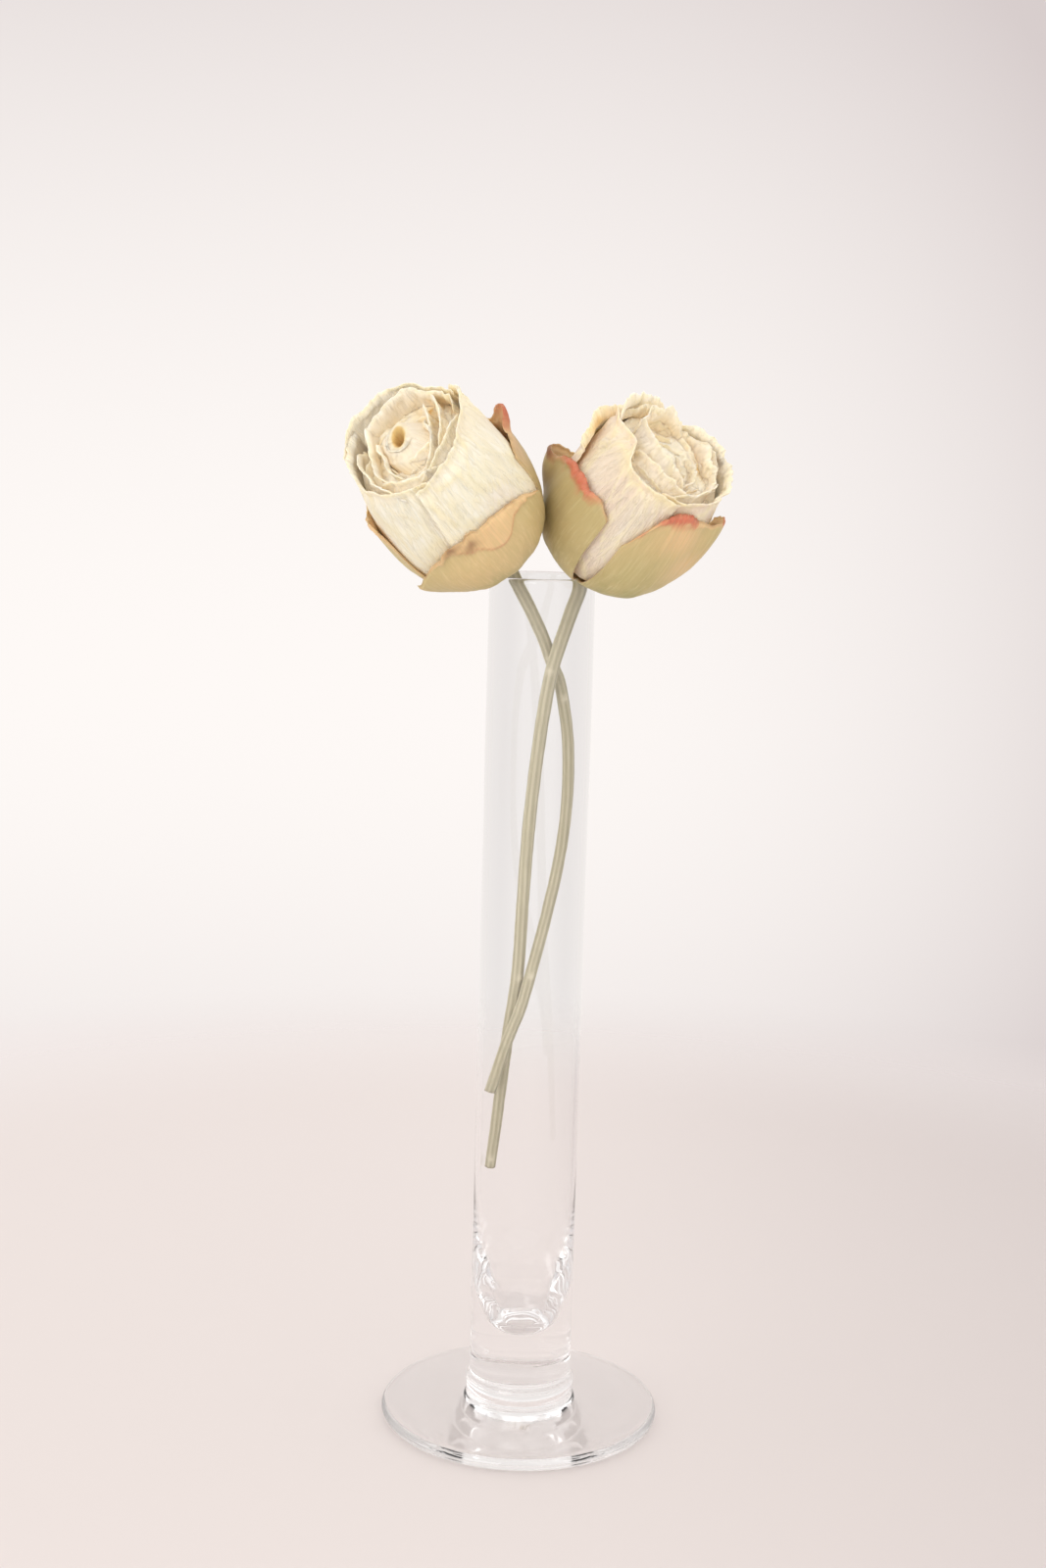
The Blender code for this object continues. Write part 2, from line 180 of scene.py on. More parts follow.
# The left rose's bud: its section from the base over its top and down into its opening, where
# its foot and its opening stand, and which way the opening tilts.
BUD_SECTION = ((7.4, 39.0), (8.1, 44.0), (7.9, 46.6), (7.1, 48.5), (5.8, 49.9), (4.3, 50.8),
               (2.8, 51.2), (2.0, 51.0), (1.5, 49.8), (1.0, 46.5))
BUD_FOOT_PLACE = (2.2, -0.8)
BUD_TOP_PLACE = (-0.8, 2.7)
BUD_TILT = 195.0
BUD_START = 0.3
BUD_WRAP = 0.55
BUD_THICKNESS = 0.35

# Tones that the petals carry at each point. The third guard tone is browned edges and bruises and
# also painted shade where the heads touch. Of the cream tones, the first is partly the petals'
# colour deep in the bloom and partly painted shade in its hollows, the fourth is painted shade in
# the creases, and the fifth is painted light that brightens the inside of the bloom.
GUARD_TONES = ("coral", "peach", "brown", "low", "lining")
CREAM_TONES = ("honey", "blush", "edge", "crease", "pale")

LEFT_GUARDS = (
    Guard(-94, 66, 0, (17, 22.2, 27.2, 30.2, 31.4, 30.6, 28.8, 25.2, 19.5), 0, -1, 1.4, (0.2, 0.4,
        1.2, 2.6, 6.4, 9.6, 4, 1.9, 0.3)),
    Guard(38, 60, 0, (31, 32.6, 34.8, 34.6, 33.8, 32.5, 30.5, 28, 24), 0.9, -0.46, 1, (0.8, 1.4,
        3.5, 1.2, 1, 1, 0.8, 0.8, 0.6)),
    Guard(150, 62, 0, (24, 31, 35, 36.5, 37, 37.2, 37.4, 33.5, 19), 1.5, 0.5, 0.4, (0.6, 0.8, 1, 1,
        1.2, 1.6, 2.8, 1, 0.6)),
)
RIGHT_GUARDS = (
    Guard(-161, 60, 15, (19, 22.5, 25, 26.4, 32.6, 34.6, 35.4, 36, 33.6), -0.8, -0.34, 4, (0.6,
        0.8, 1.5, 1.8, 2.2, 2.8, 2.4, 0.8, 0.5)),
    Guard(-34, 48, 14, (29, 40, 44.6, 45.4, 43.6, 41.8, 40.6, 40.4, 36), 0, 0.58, 2.2, (0.3, 1.6,
        2.8, 3.2, 2.6, 1.2, 0.8, 0.8, 0.8)),
    Guard(77, 64, 0, (20, 26, 30, 32, 33, 32.5, 30, 26, 20), 0.8, 0, 1, (0.5, 0.6, 0.8, 1, 1, 1,
        0.8, 0.6, 0.5)),
)
# Rings of small petals that fill the heart; the lip height is below the mouth.
HEART_LAYERS = (
    Layer(5, 14, 12.6, -2.9, 20, 45, 8),
    Layer(5, 11.4, 9.8, -3, 52, 46, 12),
    Layer(4, 8.8, 7.2, -3.1, 10, 56, 20),
    Layer(4, 6.2, 4.6, -3.2, 60, 58, 23),
    Layer(3, 3.9, 2.5, -3.4, 75, 74, 26),
)
LEFT_PETALS = (
    Petal(-40, 67, 50, (21.5, 21.3, 21, 20.9, 20.6), 1.65, (48, 50.2, 51.4, 52.4, 49.6), (18, 17.2,
        16.3, 17.8, 18.6), 1.1, 0.9, 0),
    Petal(-166, 72, 0, (20.5, 20.8, 20.9, 20.6, 19.9), 1.65, (52.4, 50.8, 49.8, 49.4, 47.6), (18,
        16.2, 15.2, 15.9, 15.4), 0.9, 1.2, 0),
    Petal(82, 66, 0, (20.3, 20.7, 20.8, 20.8, 20.7), 3.8, (50, 51.6, 55, 54.2, 51.2), (17.8, 17.4,
        17, 17.3, 17.8), 0.5, 0.3, 0),
    Petal(-172, 52, 0, (18.4, 17.6, 17.2, 17.8, 18.6), 6, (49.2, 50.4, 50, 49.6, 47.6), (14.6,
        13.2, 12.4, 13.6, 15.6), 0.5, 0.9, 1),
    Petal(-112, 46, 0, (16.2, 16.2, 16.8, 17.6, 18.2), 6, (47.6, 49.6, 49.8, 49.4, 47.8), (11.8,
        12, 12.9, 14, 14.4), 0.5, 0.9, 1),
    Petal(-58, 48, 0, (17.6, 16.8, 16.2, 16.4, 17.4), 6, (47.6, 49.8, 50.6, 51, 50), (15, 13.4,
        12.4, 13.2, 15.4), 0.4, 0.9, 1),
    Petal(66, 62, 0, (17.6, 18.2, 18.4, 18.4, 18), 6, (50.6, 51.8, 52.6, 52.4, 50.6), (15.2, 14.8,
        15, 14.2, 13.6), 0.6, 0.7, 1),
    Petal(165, 60, 0, (17.4, 13.8, 12, 13.2, 14.2), 12, (51.6, 50.8, 50.2, 50, 48), (16, 11.4, 9.4,
        10.6, 11.8), 0.3, 1, 2),
    Petal(-12, 52, 0, (12.8, 12.6, 12.8, 13.8, 15.8), 12, (48, 50.2, 51.4, 52.4, 51.4), (10, 9.8,
        10.6, 12, 14.4), 0.3, 1, 2),
    Petal(184, 62, 0, (12.6, 10.2, 9.6, 11.4, 13), 16, (49.8, 50.6, 50.2, 49.8, 48.2), (10.6, 7.2,
        6.4, 8.8, 11.2), 0.3, 0.9, 3),
    Petal(-24, 78, 0, (14.8, 11.8, 9.8, 10.8, 14), 18, (47.8, 50.2, 51.2, 51.8, 50), (13, 9.4, 7.4,
        8.4, 12), 0.3, 1, 3),
    Petal(-50, 80, 0, (7.6, 9, 10.4, 9, 8.4), 22, (47.6, 50.2, 50.8, 51.2, 50.2), (4.8, 6.6, 8.2,
        6.6, 6), 0.25, 0.8, 4),
)
RIGHT_PETALS = (
    Petal(173, 27, 0, (20.8, 20.9, 21, 21.1, 21), 6, (42.6, 42.9, 43.2, 42.6, 38.5), (19, 20, 20.6,
        20.7, 20.6), 0.7, 2.4, 0),
    Petal(-136, 74, 26, (20.4, 20.3, 20.1, 19.9, 19.6), 1.65, (43, 46.2, 47.6, 47.6, 47, 46.8, 47,
        47, 46.4), (18.6, 18, 15.6, 11.5, 12.2, 15.6, 17, 16.6, 16.8), 0.7, 1.2, 0),
    Petal(-14, 66, 0, (18.8, 19.5, 19.8, 19.7, 19.8), 1.65, (45.8, 46.8, 47.8, 48.4, 47), (14.4,
        15.6, 16.4, 17, 16.6), 1.1, 1.3, 0),
    Petal(104, 62, 0, (19.5, 19.6, 19.7, 19.9, 19.9), 3.8, (47.6, 47.6, 46, 48, 45), (17, 16.6,
        15.4, 15.8, 17.6), 1.1, 1.2, 0),
    Petal(147, 36, 0, (18.4, 19, 19.2, 18.8, 18), 4.6, (46, 48.4, 49.2, 48.8, 46.4), (16.4, 17.6,
        18.2, 17.2, 14.6), 0.6, 1.6, 1),
    Petal(-97, 54, 0, (12.4, 13.6, 14.8, 15.2, 15.6), 8, (45.8, 47.2, 47, 46.8, 45.8), (9.2, 8.4,
        8, 9.8, 11.4), 0.7, 1.3, 1),
    Petal(-30, 46, 0, (16.8, 16.6, 16.6, 16.8, 17), 8, (45, 46.8, 47, 46.8, 45.6), (13.6, 12.8,
        12.6, 13, 13.8), 1, 1.3, 1),
    Petal(82, 54, 0, (17, 17.4, 17.4, 16.9, 16.2), 8, (44.6, 46.4, 45.4, 45, 44.6), (14.4, 14.4,
        14.6, 13.8, 13.2), 1, 1, 1),
    Petal(133, 42, 0, (16.4, 16.6, 16, 15, 14.2), 10, (46.8, 49.4, 50, 49.2, 46), (13.4, 14, 12.8,
        12, 11.4), 1.6, 1.3, 2),
    Petal(-122, 88, 0, (15.4, 11.6, 11.4, 12, 13.4), 12, (48.6, 49.8, 48.8, 48, 46), (13, 7.2, 4.4,
        4.6, 9.4), 0.6, 1.2, 2),
    Petal(35, 43, 0, (15.6, 15.2, 14.8, 15.4, 16.4), 12, (45.2, 47.4, 48, 47.4, 45.4), (13.4, 12.8,
        11.8, 13.2, 14.6), 0.9, 1.3, 2),
    Petal(10, 60, 0, (10.6, 10.4, 10.2, 10.2, 10.4), 20, (44.6, 46, 46.4, 45.4, 43), (8.4, 7.6, 7,
        7.2, 8), 0.6, 1, 3),
)
HEADS = (
    Head("left", (-22.6, -30, 270.3), 23.2, 37.2, -39.4, 48, LEFT_STEM_LOW, (1.6, 1.8),
        LEFT_GUARDS, LEFT_PETALS, 50, 0.25, 11),
    Head("right", (21.8, -18.8, 268.4), 22.3, 35.7, 34.3, 43, RIGHT_STEM_LOW, (1.7, 1.95),
        RIGHT_GUARDS, RIGHT_PETALS, 47, 0.8, 23),
)

# Colour patches on the guard petals, by azimuth and by millimetres below the rim.
CORAL = {
    "left": (Spot(9, 0, 8, 5, 0.95),),
    "right": (Spot(-145, 0, 26, 3.6, 1.1), Spot(-51, 0, 22, 3.6, 1.05), Spot(-4, 0, 5, 1.2, 0.8)),
}
PEACH = {
    "left": (Spot(4, 2, 26, 6, 0.9), Spot(182, 1, 20, 4, 0.9), Spot(-94, 12, 60, 14, 0.42)),
    "right": (Spot(-42, 7, 22, 7, 0.85), Spot(-20, 16, 22, 9, 0.6), Spot(-50, 3, 24, 3, 0.7)),
}
# Browned edges and bruises; on the right head, the patches at -172 and -140 are painted shade on
# the guard petal that touches the left head.
BROWN_AND_SHADE = {
    "left": (Spot(9, 1.5, 9, 4, 0.55), Spot(0, 9, 30, 12, 0.42), Spot(-97, 3.6, 6, 1.6, 0.8),
        Spot(-112, 0.8, 8, 1.4, 0.7)),
    "right": (Spot(-178, 0.5, 14, 2.4, 0.95), Spot(-172, 11, 12, 8, 0.75), Spot(-140, 14, 60, 16,
        0.26)),
}
# Crumpled places of the cream petals, and golden hollows of painted shade, by azimuth and height
# in the head's frame.
CRUMPLED = {
    "left": (Spot(6, 50, 15, 4, 1), Spot(-30, 50, 24, 3.5, 0.4)),
    "right": (Spot(140, 50, 22, 4, 1), Spot(-163, 42, 7, 3.6, 0.9), Spot(20, 47, 34, 3.5, 0.7),
        Spot(-132, 46, 22, 4, 0.45), Spot(-70, 46.5, 16, 2.5, 0.6)),
}
GOLDEN_SHADE = {
    "left": (Spot(20, 48, 30, 3, 0.7), Spot(-160, 46, 26, 2.5, 0.6)),
    "right": (Spot(182, 41.5, 34, 3, 0.9), Spot(118, 44, 40, 3, 0.7)),
}


def srgb(red, green, blue):
    """Turns screen colours from 0 to 255 into the linear colours that Blender uses."""
    values = np.array([red, green, blue]) / 255.0
    linear = np.where(values <= 0.04045, values / 12.92, ((values + 0.055) / 1.055) ** 2.4)
    return tuple(linear.tolist())


def colour_prop(name, description, default):
    """A colour that the user can change in the sidebar."""
    return bpy.props.FloatVectorProperty(
        name=name, description=description, default=default, subtype="COLOR", min=0.0, max=1.0)


def length_prop(name, description, default, low, high):
    """A length in millimetres that the user can change in the sidebar."""
    return bpy.props.FloatProperty(
        name=name, description=description, default=default, min=low, max=high)


def light_prop(name, description, default, high, subtype="POWER"):
    """A strength or power of light that the user can change in the sidebar."""
    return bpy.props.FloatProperty(
        name=name, description=description, default=default, min=0.0, max=high, subtype=subtype)


class VaseSettings(bpy.types.PropertyGroup):
    tint: colour_prop("Glass tint", "Colour of the clear glass", (0.998, 0.998, 0.999))
    ripple: length_prop("Ripple", "Waves left in the hand-worked glass, mm", 0.05, 0.0, 0.3)


class StemSettings(bpy.types.PropertyGroup):
    bark: colour_prop("Stem", "Dried grey-green stem", srgb(193, 184, 158))
    shade: colour_prop("Furrows", "Darker furrows along the stem", srgb(150, 141, 113))
    scar: colour_prop("Scars", "Pale scars and cut ends", srgb(214, 205, 182))
    ridge: length_prop("Ridges", "Height of the ridges along the stem, mm", 0.09, 0.0, 0.3)


class GuardSettings(bpy.types.PropertyGroup):
    olive: colour_prop("Olive", "Main colour of the guard petals", srgb(194, 177, 126))
    green: colour_prop("Green shade", "Greener patches low on the petals", srgb(162, 156, 99))
    peach: colour_prop("Peach", "Peach parts and folded rims", srgb(233, 194, 145))
    coral: colour_prop("Coral", "Crumpled coral rims", srgb(208, 116, 90))
    # Browned edges and bruises, and also painted shade where the heads touch.
    brown: colour_prop("Brown", "Brown edges and bruises", srgb(126, 84, 54))
    lining: colour_prop("Lining", "Inner face of the petals", srgb(244, 226, 190))


class BloomSettings(bpy.types.PropertyGroup):
    cream: colour_prop("Cream", "Main colour of the bloom", srgb(254, 245, 223))
    # The pale colour is painted light that brightens the inside of the bloom.
    pale: colour_prop("Pale", "Palest cream, inside the bloom", srgb(255, 248, 234))
    # These two golden tones are partly the petals' colour deep in the bloom and partly painted
    # shade in the hollows between the petals.
    honey: colour_prop("Honey", "Golden depths between the petals", srgb(251, 228, 186))
    gold_and_shade: colour_prop("Gold", "Deepest golden hollows", srgb(232, 192, 126))
    blush: colour_prop("Blush", "Pinkish parts of the petals", srgb(228, 201, 183))
    thickness: length_prop("Petal thickness", "Thickness of one petal, mm", 0.34, 0.2, 1.0)
    crumple: length_prop("Crumple", "Depth of the creases in a petal, mm", 0.47, 0.0, 1.5)


class StageSettings(bpy.types.PropertyGroup):
    floor: colour_prop("Floor", "Plain pale floor", srgb(217, 208, 206))
    far_floor: colour_prop("Far floor", "Floor where it meets the wall", srgb(245, 237, 235))
    wall: colour_prop("Background", "Plain pale background", srgb(254, 249, 246))
    shade: colour_prop("Background shade", "Background at its corners", srgb(216, 206, 205))
    room_light: light_prop("Room light", "Even light from all round", 1.15, 4.0, "NONE")
    soft_light: light_prop("Soft light", "Power of the large lamp overhead", 1.0, 100.0)
    fill_light: light_prop("Fill light", "Power of the lamp in front", 3.4, 100.0)


# Numbers on grids


def noise(x, y, seed, wrap=LATTICE):
    """Random numbers on a whole-number lattice, run together between the four nearest.

    The blend along each side is 6f^5 - 15f^4 + 10f^3 of the fraction f, so it has no kinks. The
    result runs from -1 to 1 and repeats along x after wrap cells.
    """
    table = np.random.default_rng(seed).uniform(-1.0, 1.0, (wrap, LATTICE))
    x, y = np.broadcast_arrays(x, y)
    low_x, low_y = np.floor(x).astype(int), np.floor(y).astype(int)
    ease_x, ease_y = (part ** 3 * (part * (part * 6 - 15) + 10) for part in (x - low_x, y - low_y))
    left, right = low_x % wrap, (low_x + 1) % wrap
    near, far = low_y % LATTICE, (low_y + 1) % LATTICE
    here = table[left, near] * (1 - ease_x) + table[right, near] * ease_x
    there = table[left, far] * (1 - ease_x) + table[right, far] * ease_x
    return here * (1 - ease_y) + there * ease_y


def ridges(x, y, seed):
    """Sharp ridges where noise passes through zero: 1 - 2.4 |noise|, kept above zero."""
    return np.clip(1.0 - 2.4 * np.abs(noise(x, y, seed)), 0.0, 1.0)


def wave(size, across, up, seed, shift=0.0, pattern=noise):
    """A pattern whose height and whose lengths across and upwards are those of a Wave."""
    return size.height * pattern(across / size.across + shift, up / size.up, seed)


def ease(low, high, values):
    """Climbs from 0 at low to 1 at high by 3f^2 - 2f^3."""
    part = np.clip((np.asarray(values, float) - low) / (high - low), 0.0, 1.0)
    return part * part * (3 - 2 * part)


def bell(values, middle, width):
    """A bell curve of height 1: exp(-x^2), where x is the distance from the middle in widths."""
    return np.exp(-((values - middle) / width) ** 2)


def catmull_rom(a, b, c, d, part):
    """The cubic curve from b to c that leaves and arrives in line with a and d."""
    return 0.5 * (2 * b + (c - a) * part + (2 * a - 5 * b + 4 * c - d) * part ** 2
                  + (3 * b - a - 3 * c + d) * part ** 3)


def run_through(values, across):
    """A Catmull-Rom curve through even values across a petal, from -1 to 1."""
    values = np.asarray(values, float)
    ends = np.concatenate([[2 * values[0] - values[1]], values, [2 * values[-1] - values[-2]]])
    steps = np.clip((across + 1) / 2 * (len(values) - 1), 0, len(values) - 1 - 1e-9)
    low = steps.astype(int)
    return catmull_rom(*(ends[low + step] for step in range(4)), steps - low)


def smooth_path(knots, count):
    """Even points along a Catmull-Rom curve through the knots, and their distances along it."""
    knots = np.asarray(knots, float)
    ends = np.vstack([2 * knots[0] - knots[1], knots, 2 * knots[-1] - knots[-2]])
    part = np.linspace(0.0, 1.0, 24, endpoint=False)[None, :, None]
    fine = catmull_rom(*(ends[first:len(ends) - 3 + first, None] for first in range(4)), part)
    fine = np.vstack([fine.reshape(-1, knots.shape[1]), knots[-1:]])
    lengths = np.concatenate([[0.0], np.cumsum(np.linalg.norm(np.diff(fine, axis=0), axis=1))])
    wanted = np.linspace(0.0, lengths[-1], count)
    return grid_of(*(np.interp(wanted, lengths, line) for line in fine.T)), wanted


def grid_of(*parts):
    """A grid of points from their parts, each stretched to the same rows and columns."""
    return np.stack(np.broadcast_arrays(*parts), axis=-1)


def turned(radius, angle, height):
    """Points round an axis: the radius times the cosine and sine of the angle, and the height."""
    return grid_of(radius * np.cos(angle), radius * np.sin(angle), height)


def arc(centre, radius, start, end, count):
    """Points on an arc: the centre plus radius times the cosine and sine of even angles."""
    angles = np.radians(np.linspace(start, end, count))
    return grid_of(centre[0] + radius * np.cos(angles), centre[1] + radius * np.sin(angles))


def thinned(grid, thickness):
    """A sheet's inner grid, which lies inwards of the outer one along its unit normals.

    A normal is the cross product of the grid's two directions.
    """
    normals = np.cross(np.gradient(grid, axis=1), np.gradient(grid, axis=0))
    normals = normals / np.maximum(np.linalg.norm(normals, axis=-1), 1e-9)[..., None]
    return grid - normals * np.asarray(thickness)[..., None]


def shell_angle(height, foot, head, upper):
    """The angle at which a head's egg-shaped shell reaches a height.

    It is the arc cosine of the distance below the belly over the lower or upper half height.
    """
    below = head.radius - np.asarray(height, float)
    below = below / np.where(below > 0.0, head.radius - foot, upper)
    return np.arccos(np.clip(below, -1.0, 1.0))


def shell_height(angle, foot, head, upper):
    """The height at an angle: the belly's, minus the lower or upper half height times cosine."""
    return head.radius - np.where(angle < math.pi / 2, head.radius - foot, upper) * np.cos(angle)


def spots(patches, azimuth, level):
    """The strongest of several soft patches: each falls off as exp(-x^2 - y^2)."""
    total = np.zeros(np.broadcast(azimuth, level).shape)
    for patch in patches:
        turn = (azimuth - patch.azimuth + 180.0) % 360.0 - 180.0
        near = bell(turn, 0.0, patch.width) * bell(level, patch.height, patch.rise)
        total = np.maximum(total, patch.strength * near)
    return total


# Heads


def head_axes(head):
    """The head's turning matrix: it nods about X towards the front, then leans about Y."""
    nod, lean = math.radians(head.nod), math.radians(head.lean)
    about_x = np.array([[1, 0, 0], [0, math.cos(nod), -math.sin(nod)],
                        [0, math.sin(nod), math.cos(nod)]])
    about_y = np.array([[math.cos(lean), 0, math.sin(lean)], [0, 1, 0],
                        [-math.sin(lean), 0, math.cos(lean)]])
    return about_y @ about_x


def head_foot(head):
    """Where the head meets its stem, in the vase's frame."""
    return np.array(head.centre) - head_axes(head)[:, 2] * head.radius


# Meshes


def grid_faces(numbers):
    """Quads that fill a grid of numbered points."""
    return np.stack([numbers[:-1, :-1], numbers[:-1, 1:], numbers[1:, 1:], numbers[1:, :-1]],
                    axis=-1).reshape(-1, 4)


def closed_round(numbers):
    """The same numbers with the first column once more at the end, so that the grid closes."""
    return np.hstack([numbers, numbers[:, :1]])


def capped_tube(rings, first, last):
    """The points and faces of rings closed round, with triangles to a pole at either end."""
    sides = rings.shape[1]
    numbers = closed_round(np.arange(rings[..., 0].size).reshape(-1, sides) + 1)
    low = np.stack([np.zeros(sides, int), numbers[0, 1:], numbers[0, :-1]], 1)
    high = np.stack([numbers[-1, :-1], numbers[-1, 1:],
                     np.full(sides, rings[..., 0].size + 1)], 1)
    points = np.vstack([[first], rings.reshape(-1, 3), [last]])
    return points, [*grid_faces(numbers).tolist(), *low.tolist(), *high.tolist()]


class Sheets:
    """Collects closed sheets, each made of two grids in a head's own frame, as one mesh."""

    def __init__(self, head, tones):
        self.head, self.count = head, 0
        self.points, self.faces, self.maps = [], [], []
        self.tones = {name: [] for name in tones}

    def add(self, outer, inner, chart, **tones):
        """Adds one sheet.

        Its outer and inner grids share their numbering, quads fill both, and a strip of quads
        round the border closes it. The chart holds two flat coordinates for each grid point. A
        tone holds values for the outer and the inner grid, and one left out is zero.
        """
        shape = outer.shape[:2]
        total = shape[0] * shape[1]
        numbers = np.arange(total).reshape(shape) + self.count
        front = grid_faces(numbers)
        border = np.concatenate([
            numbers[0, :-1], numbers[:-1, -1], numbers[-1, :0:-1], numbers[:0:-1, 0]])
        after = np.roll(border, -1)
        strip = np.stack([border, border + total, after + total, after], 1)
        turning, foot = head_axes(self.head).T, head_foot(self.head)
        for grid in (outer, inner):
            self.points.append((grid @ turning + foot).reshape(-1, 3))
            self.maps.append(chart.reshape(-1, 2))
        self.faces += [front, front[:, ::-1] + total, strip]
        for name, values in self.tones.items():
            for side in tones.get(name, (0.0, 0.0)):
                values.append(np.broadcast_to(side, shape).ravel())
        self.count += 2 * total

    def piece(self, name, material, node, slot):
        """One finished piece from every sheet added so far."""
        tones = {key: np.concatenate(values) for key, values in self.tones.items()}
        new_piece(name, np.vstack(self.points), np.vstack(self.faces).tolist(), material, node,
                  tones, np.vstack(self.maps))


def add_object(name, data):
    """A new object in the scene, at the origin."""
    item = bpy.data.objects.new(name, data)
    bpy.context.scene.collection.objects.link(item)
    return item


def new_piece(name, points, faces, material, node, tones, chart=None):
    """One smooth piece that stands for a node of the solids and rides on the body."""
    mesh = bpy.data.meshes.new(name)
    mesh.from_pydata((points * MM).tolist(), [], faces)
    for key, values in tones.items():
        layer = mesh.attributes.new(key, "FLOAT", "POINT")
        layer.data.foreach_set("value", np.ascontiguousarray(values, np.float32))
    if chart is not None:
        corners = np.empty(len(mesh.loops), np.int32)
        mesh.loops.foreach_get("vertex_index", corners)
        flat = mesh.uv_layers.new(name="petal_map")
        flat.data.foreach_set("uv", np.ascontiguousarray(chart[corners], np.float32).ravel())
    mesh.materials.append(material)
    mesh.shade_smooth()
    item = add_object(name, mesh)
    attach(item, BODY)
    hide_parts(node)


# Materials


def maths(operation, other_first=False):
    """A method that adds one Math node for an arithmetic sign."""
    def method(self, other):
        pair = (other, self) if other_first else (self, other)
        return self.nodes.out("ShaderNodeMath", {"operation": operation}, dict(enumerate(pair)))
    return method


class Value:
    """A socket whose arithmetic adds Math nodes beside it."""

    def __init__(self, nodes, socket):
        self.nodes, self.socket = nodes, socket

    __add__, __radd__ = maths("ADD"), maths("ADD", True)
    __sub__, __rsub__ = maths("SUBTRACT"), maths("SUBTRACT", True)
    __mul__, __rmul__ = maths("MULTIPLY"), maths("MULTIPLY", True)
    __truediv__, __rtruediv__ = maths("DIVIDE"), maths("DIVIDE", True)
    __pow__, __rpow__ = maths("POWER"), maths("POWER", True)


class Nodes:
    """A node tree and the ways to add to it."""

    def __init__(self, tree):
        self.tree = tree

    def put(self, socket, value):
        """Links a wrapped socket, or sets a plain value; a colour gets its fourth number."""
        if isinstance(value, Value):
            self.tree.links.new(value.socket, socket)
        elif hasattr(value, "__len__") and len(value) < len(socket.default_value):
            socket.default_value = (*value, 1.0)
        else:
            socket.default_value = value

    def node(self, kind, settings=None, values=None):
        """Adds a node: its settings first, then the values or links of its sockets."""
        node = self.tree.nodes.new(kind)
        for key, setting in (settings or {}).items():
            setattr(node, key, setting)
        for key, value in (values or {}).items():
            self.put(node.inputs[key], value)
        return node

    def out(self, kind, settings=None, values=None, output=0):
        """Adds a node and wraps one of its outputs."""
        return Value(self, self.node(kind, settings, values).outputs[output])

    def mix(self, factor, first, second):
        """Mixes two colours."""
        return self.out("ShaderNodeMix", {"data_type": "RGBA"},
                        {0: factor, 6: first, 7: second}, 2)

    def layers(self, colour, *coats):
        """Lays coats over a colour in turn; each is a mask and the coat's colour."""
        for mask, coat in coats:
            colour = self.mix(mask, colour, coat)
        return colour

    def rays(self, kind):
        """What the light path says of the ray that is being traced."""
        return self.out("ShaderNodeLightPath", None, None, kind)

    def parts(self, vector):
        """The three parts of a vector."""
        split = self.node("ShaderNodeSeparateXYZ", None, {0: vector})
        return [Value(self, part) for part in split.outputs]

    def step(self, value, low, high, way="LINEAR"):
        """Stretches a value evenly so that low becomes 0 and high becomes 1."""
        return self.out("ShaderNodeMapRange", {"interpolation_type": way},
                        {"Value": value, "From Min": low, "From Max": high})

    def span(self, value, low, high):
        """Stretches a value as step does, with soft ends."""
        return self.step(value, low, high, "SMOOTHSTEP")


class Paint(Nodes):
    """One material and the nodes that are added to it."""

    def __init__(self, name):
        self.material = bpy.data.materials.new(name)
        self.material.use_nodes = True
        super().__init__(self.material.node_tree)
        self.shader = self.tree.nodes["Principled BSDF"]

    def tone(self, name):
        """A value that the mesh carries at each of its points."""
        return self.out("ShaderNodeAttribute", {"attribute_name": name}, None, 2)

    def places(self):
        """Object coordinates."""
        return self.out("ShaderNodeTexCoord", None, None, 3)

    def chart(self, scale, turn=0.0):
        """The petal's own flat map, scaled and turned."""
        return self.stretched(self.out("ShaderNodeUVMap", {"uv_map": "petal_map"}), scale, turn)

    def stretched(self, vector, scale, turn=0.0):
        """Scales and turns coordinates."""
        return self.out("ShaderNodeMapping", None, {
            "Vector": vector, "Scale": scale, "Rotation": (0.0, 0.0, math.radians(turn))})

    def noise(self, vector, scale, detail=3.0, roughness=0.5, distortion=0.0):
        """Soft noise from 0 to 1."""
        return self.out("ShaderNodeTexNoise", None, {
            "Vector": vector, "Scale": scale, "Detail": detail, "Roughness": roughness,
            "Distortion": distortion})

    def bump(self, height, strength, distance):
        """A normal from a height, with the distance in millimetres."""
        return self.out("ShaderNodeBump", None, {
            "Height": height, "Strength": strength, "Distance": distance * MM})

    def finish(self, **values):
        """Sets or links sockets of the main shader; underscores stand for spaces."""
        for key, value in values.items():
            self.put(self.shader.inputs[key.replace("_", " ")], value)
        return self.material


def glass_material(settings):
    """Clear glass, which lets light through to what stands behind it and on the floor."""
    paint = Paint("clear_glass_finish")
    clear = paint.out("ShaderNodeBsdfTransparent", None, {"Color": GLASS_SHADOW})
    blend = paint.out("ShaderNodeMixShader", None, {
        0: paint.rays("Is Shadow Ray"), 1: Value(paint, paint.shader.outputs[0]), 2: clear})
    paint.put(paint.tree.nodes["Material Output"].inputs[0], blend)
    return paint.finish(Base_Color=settings.tint, Roughness=0.0, IOR=GLASS_INDEX,
                        Transmission_Weight=1.0)


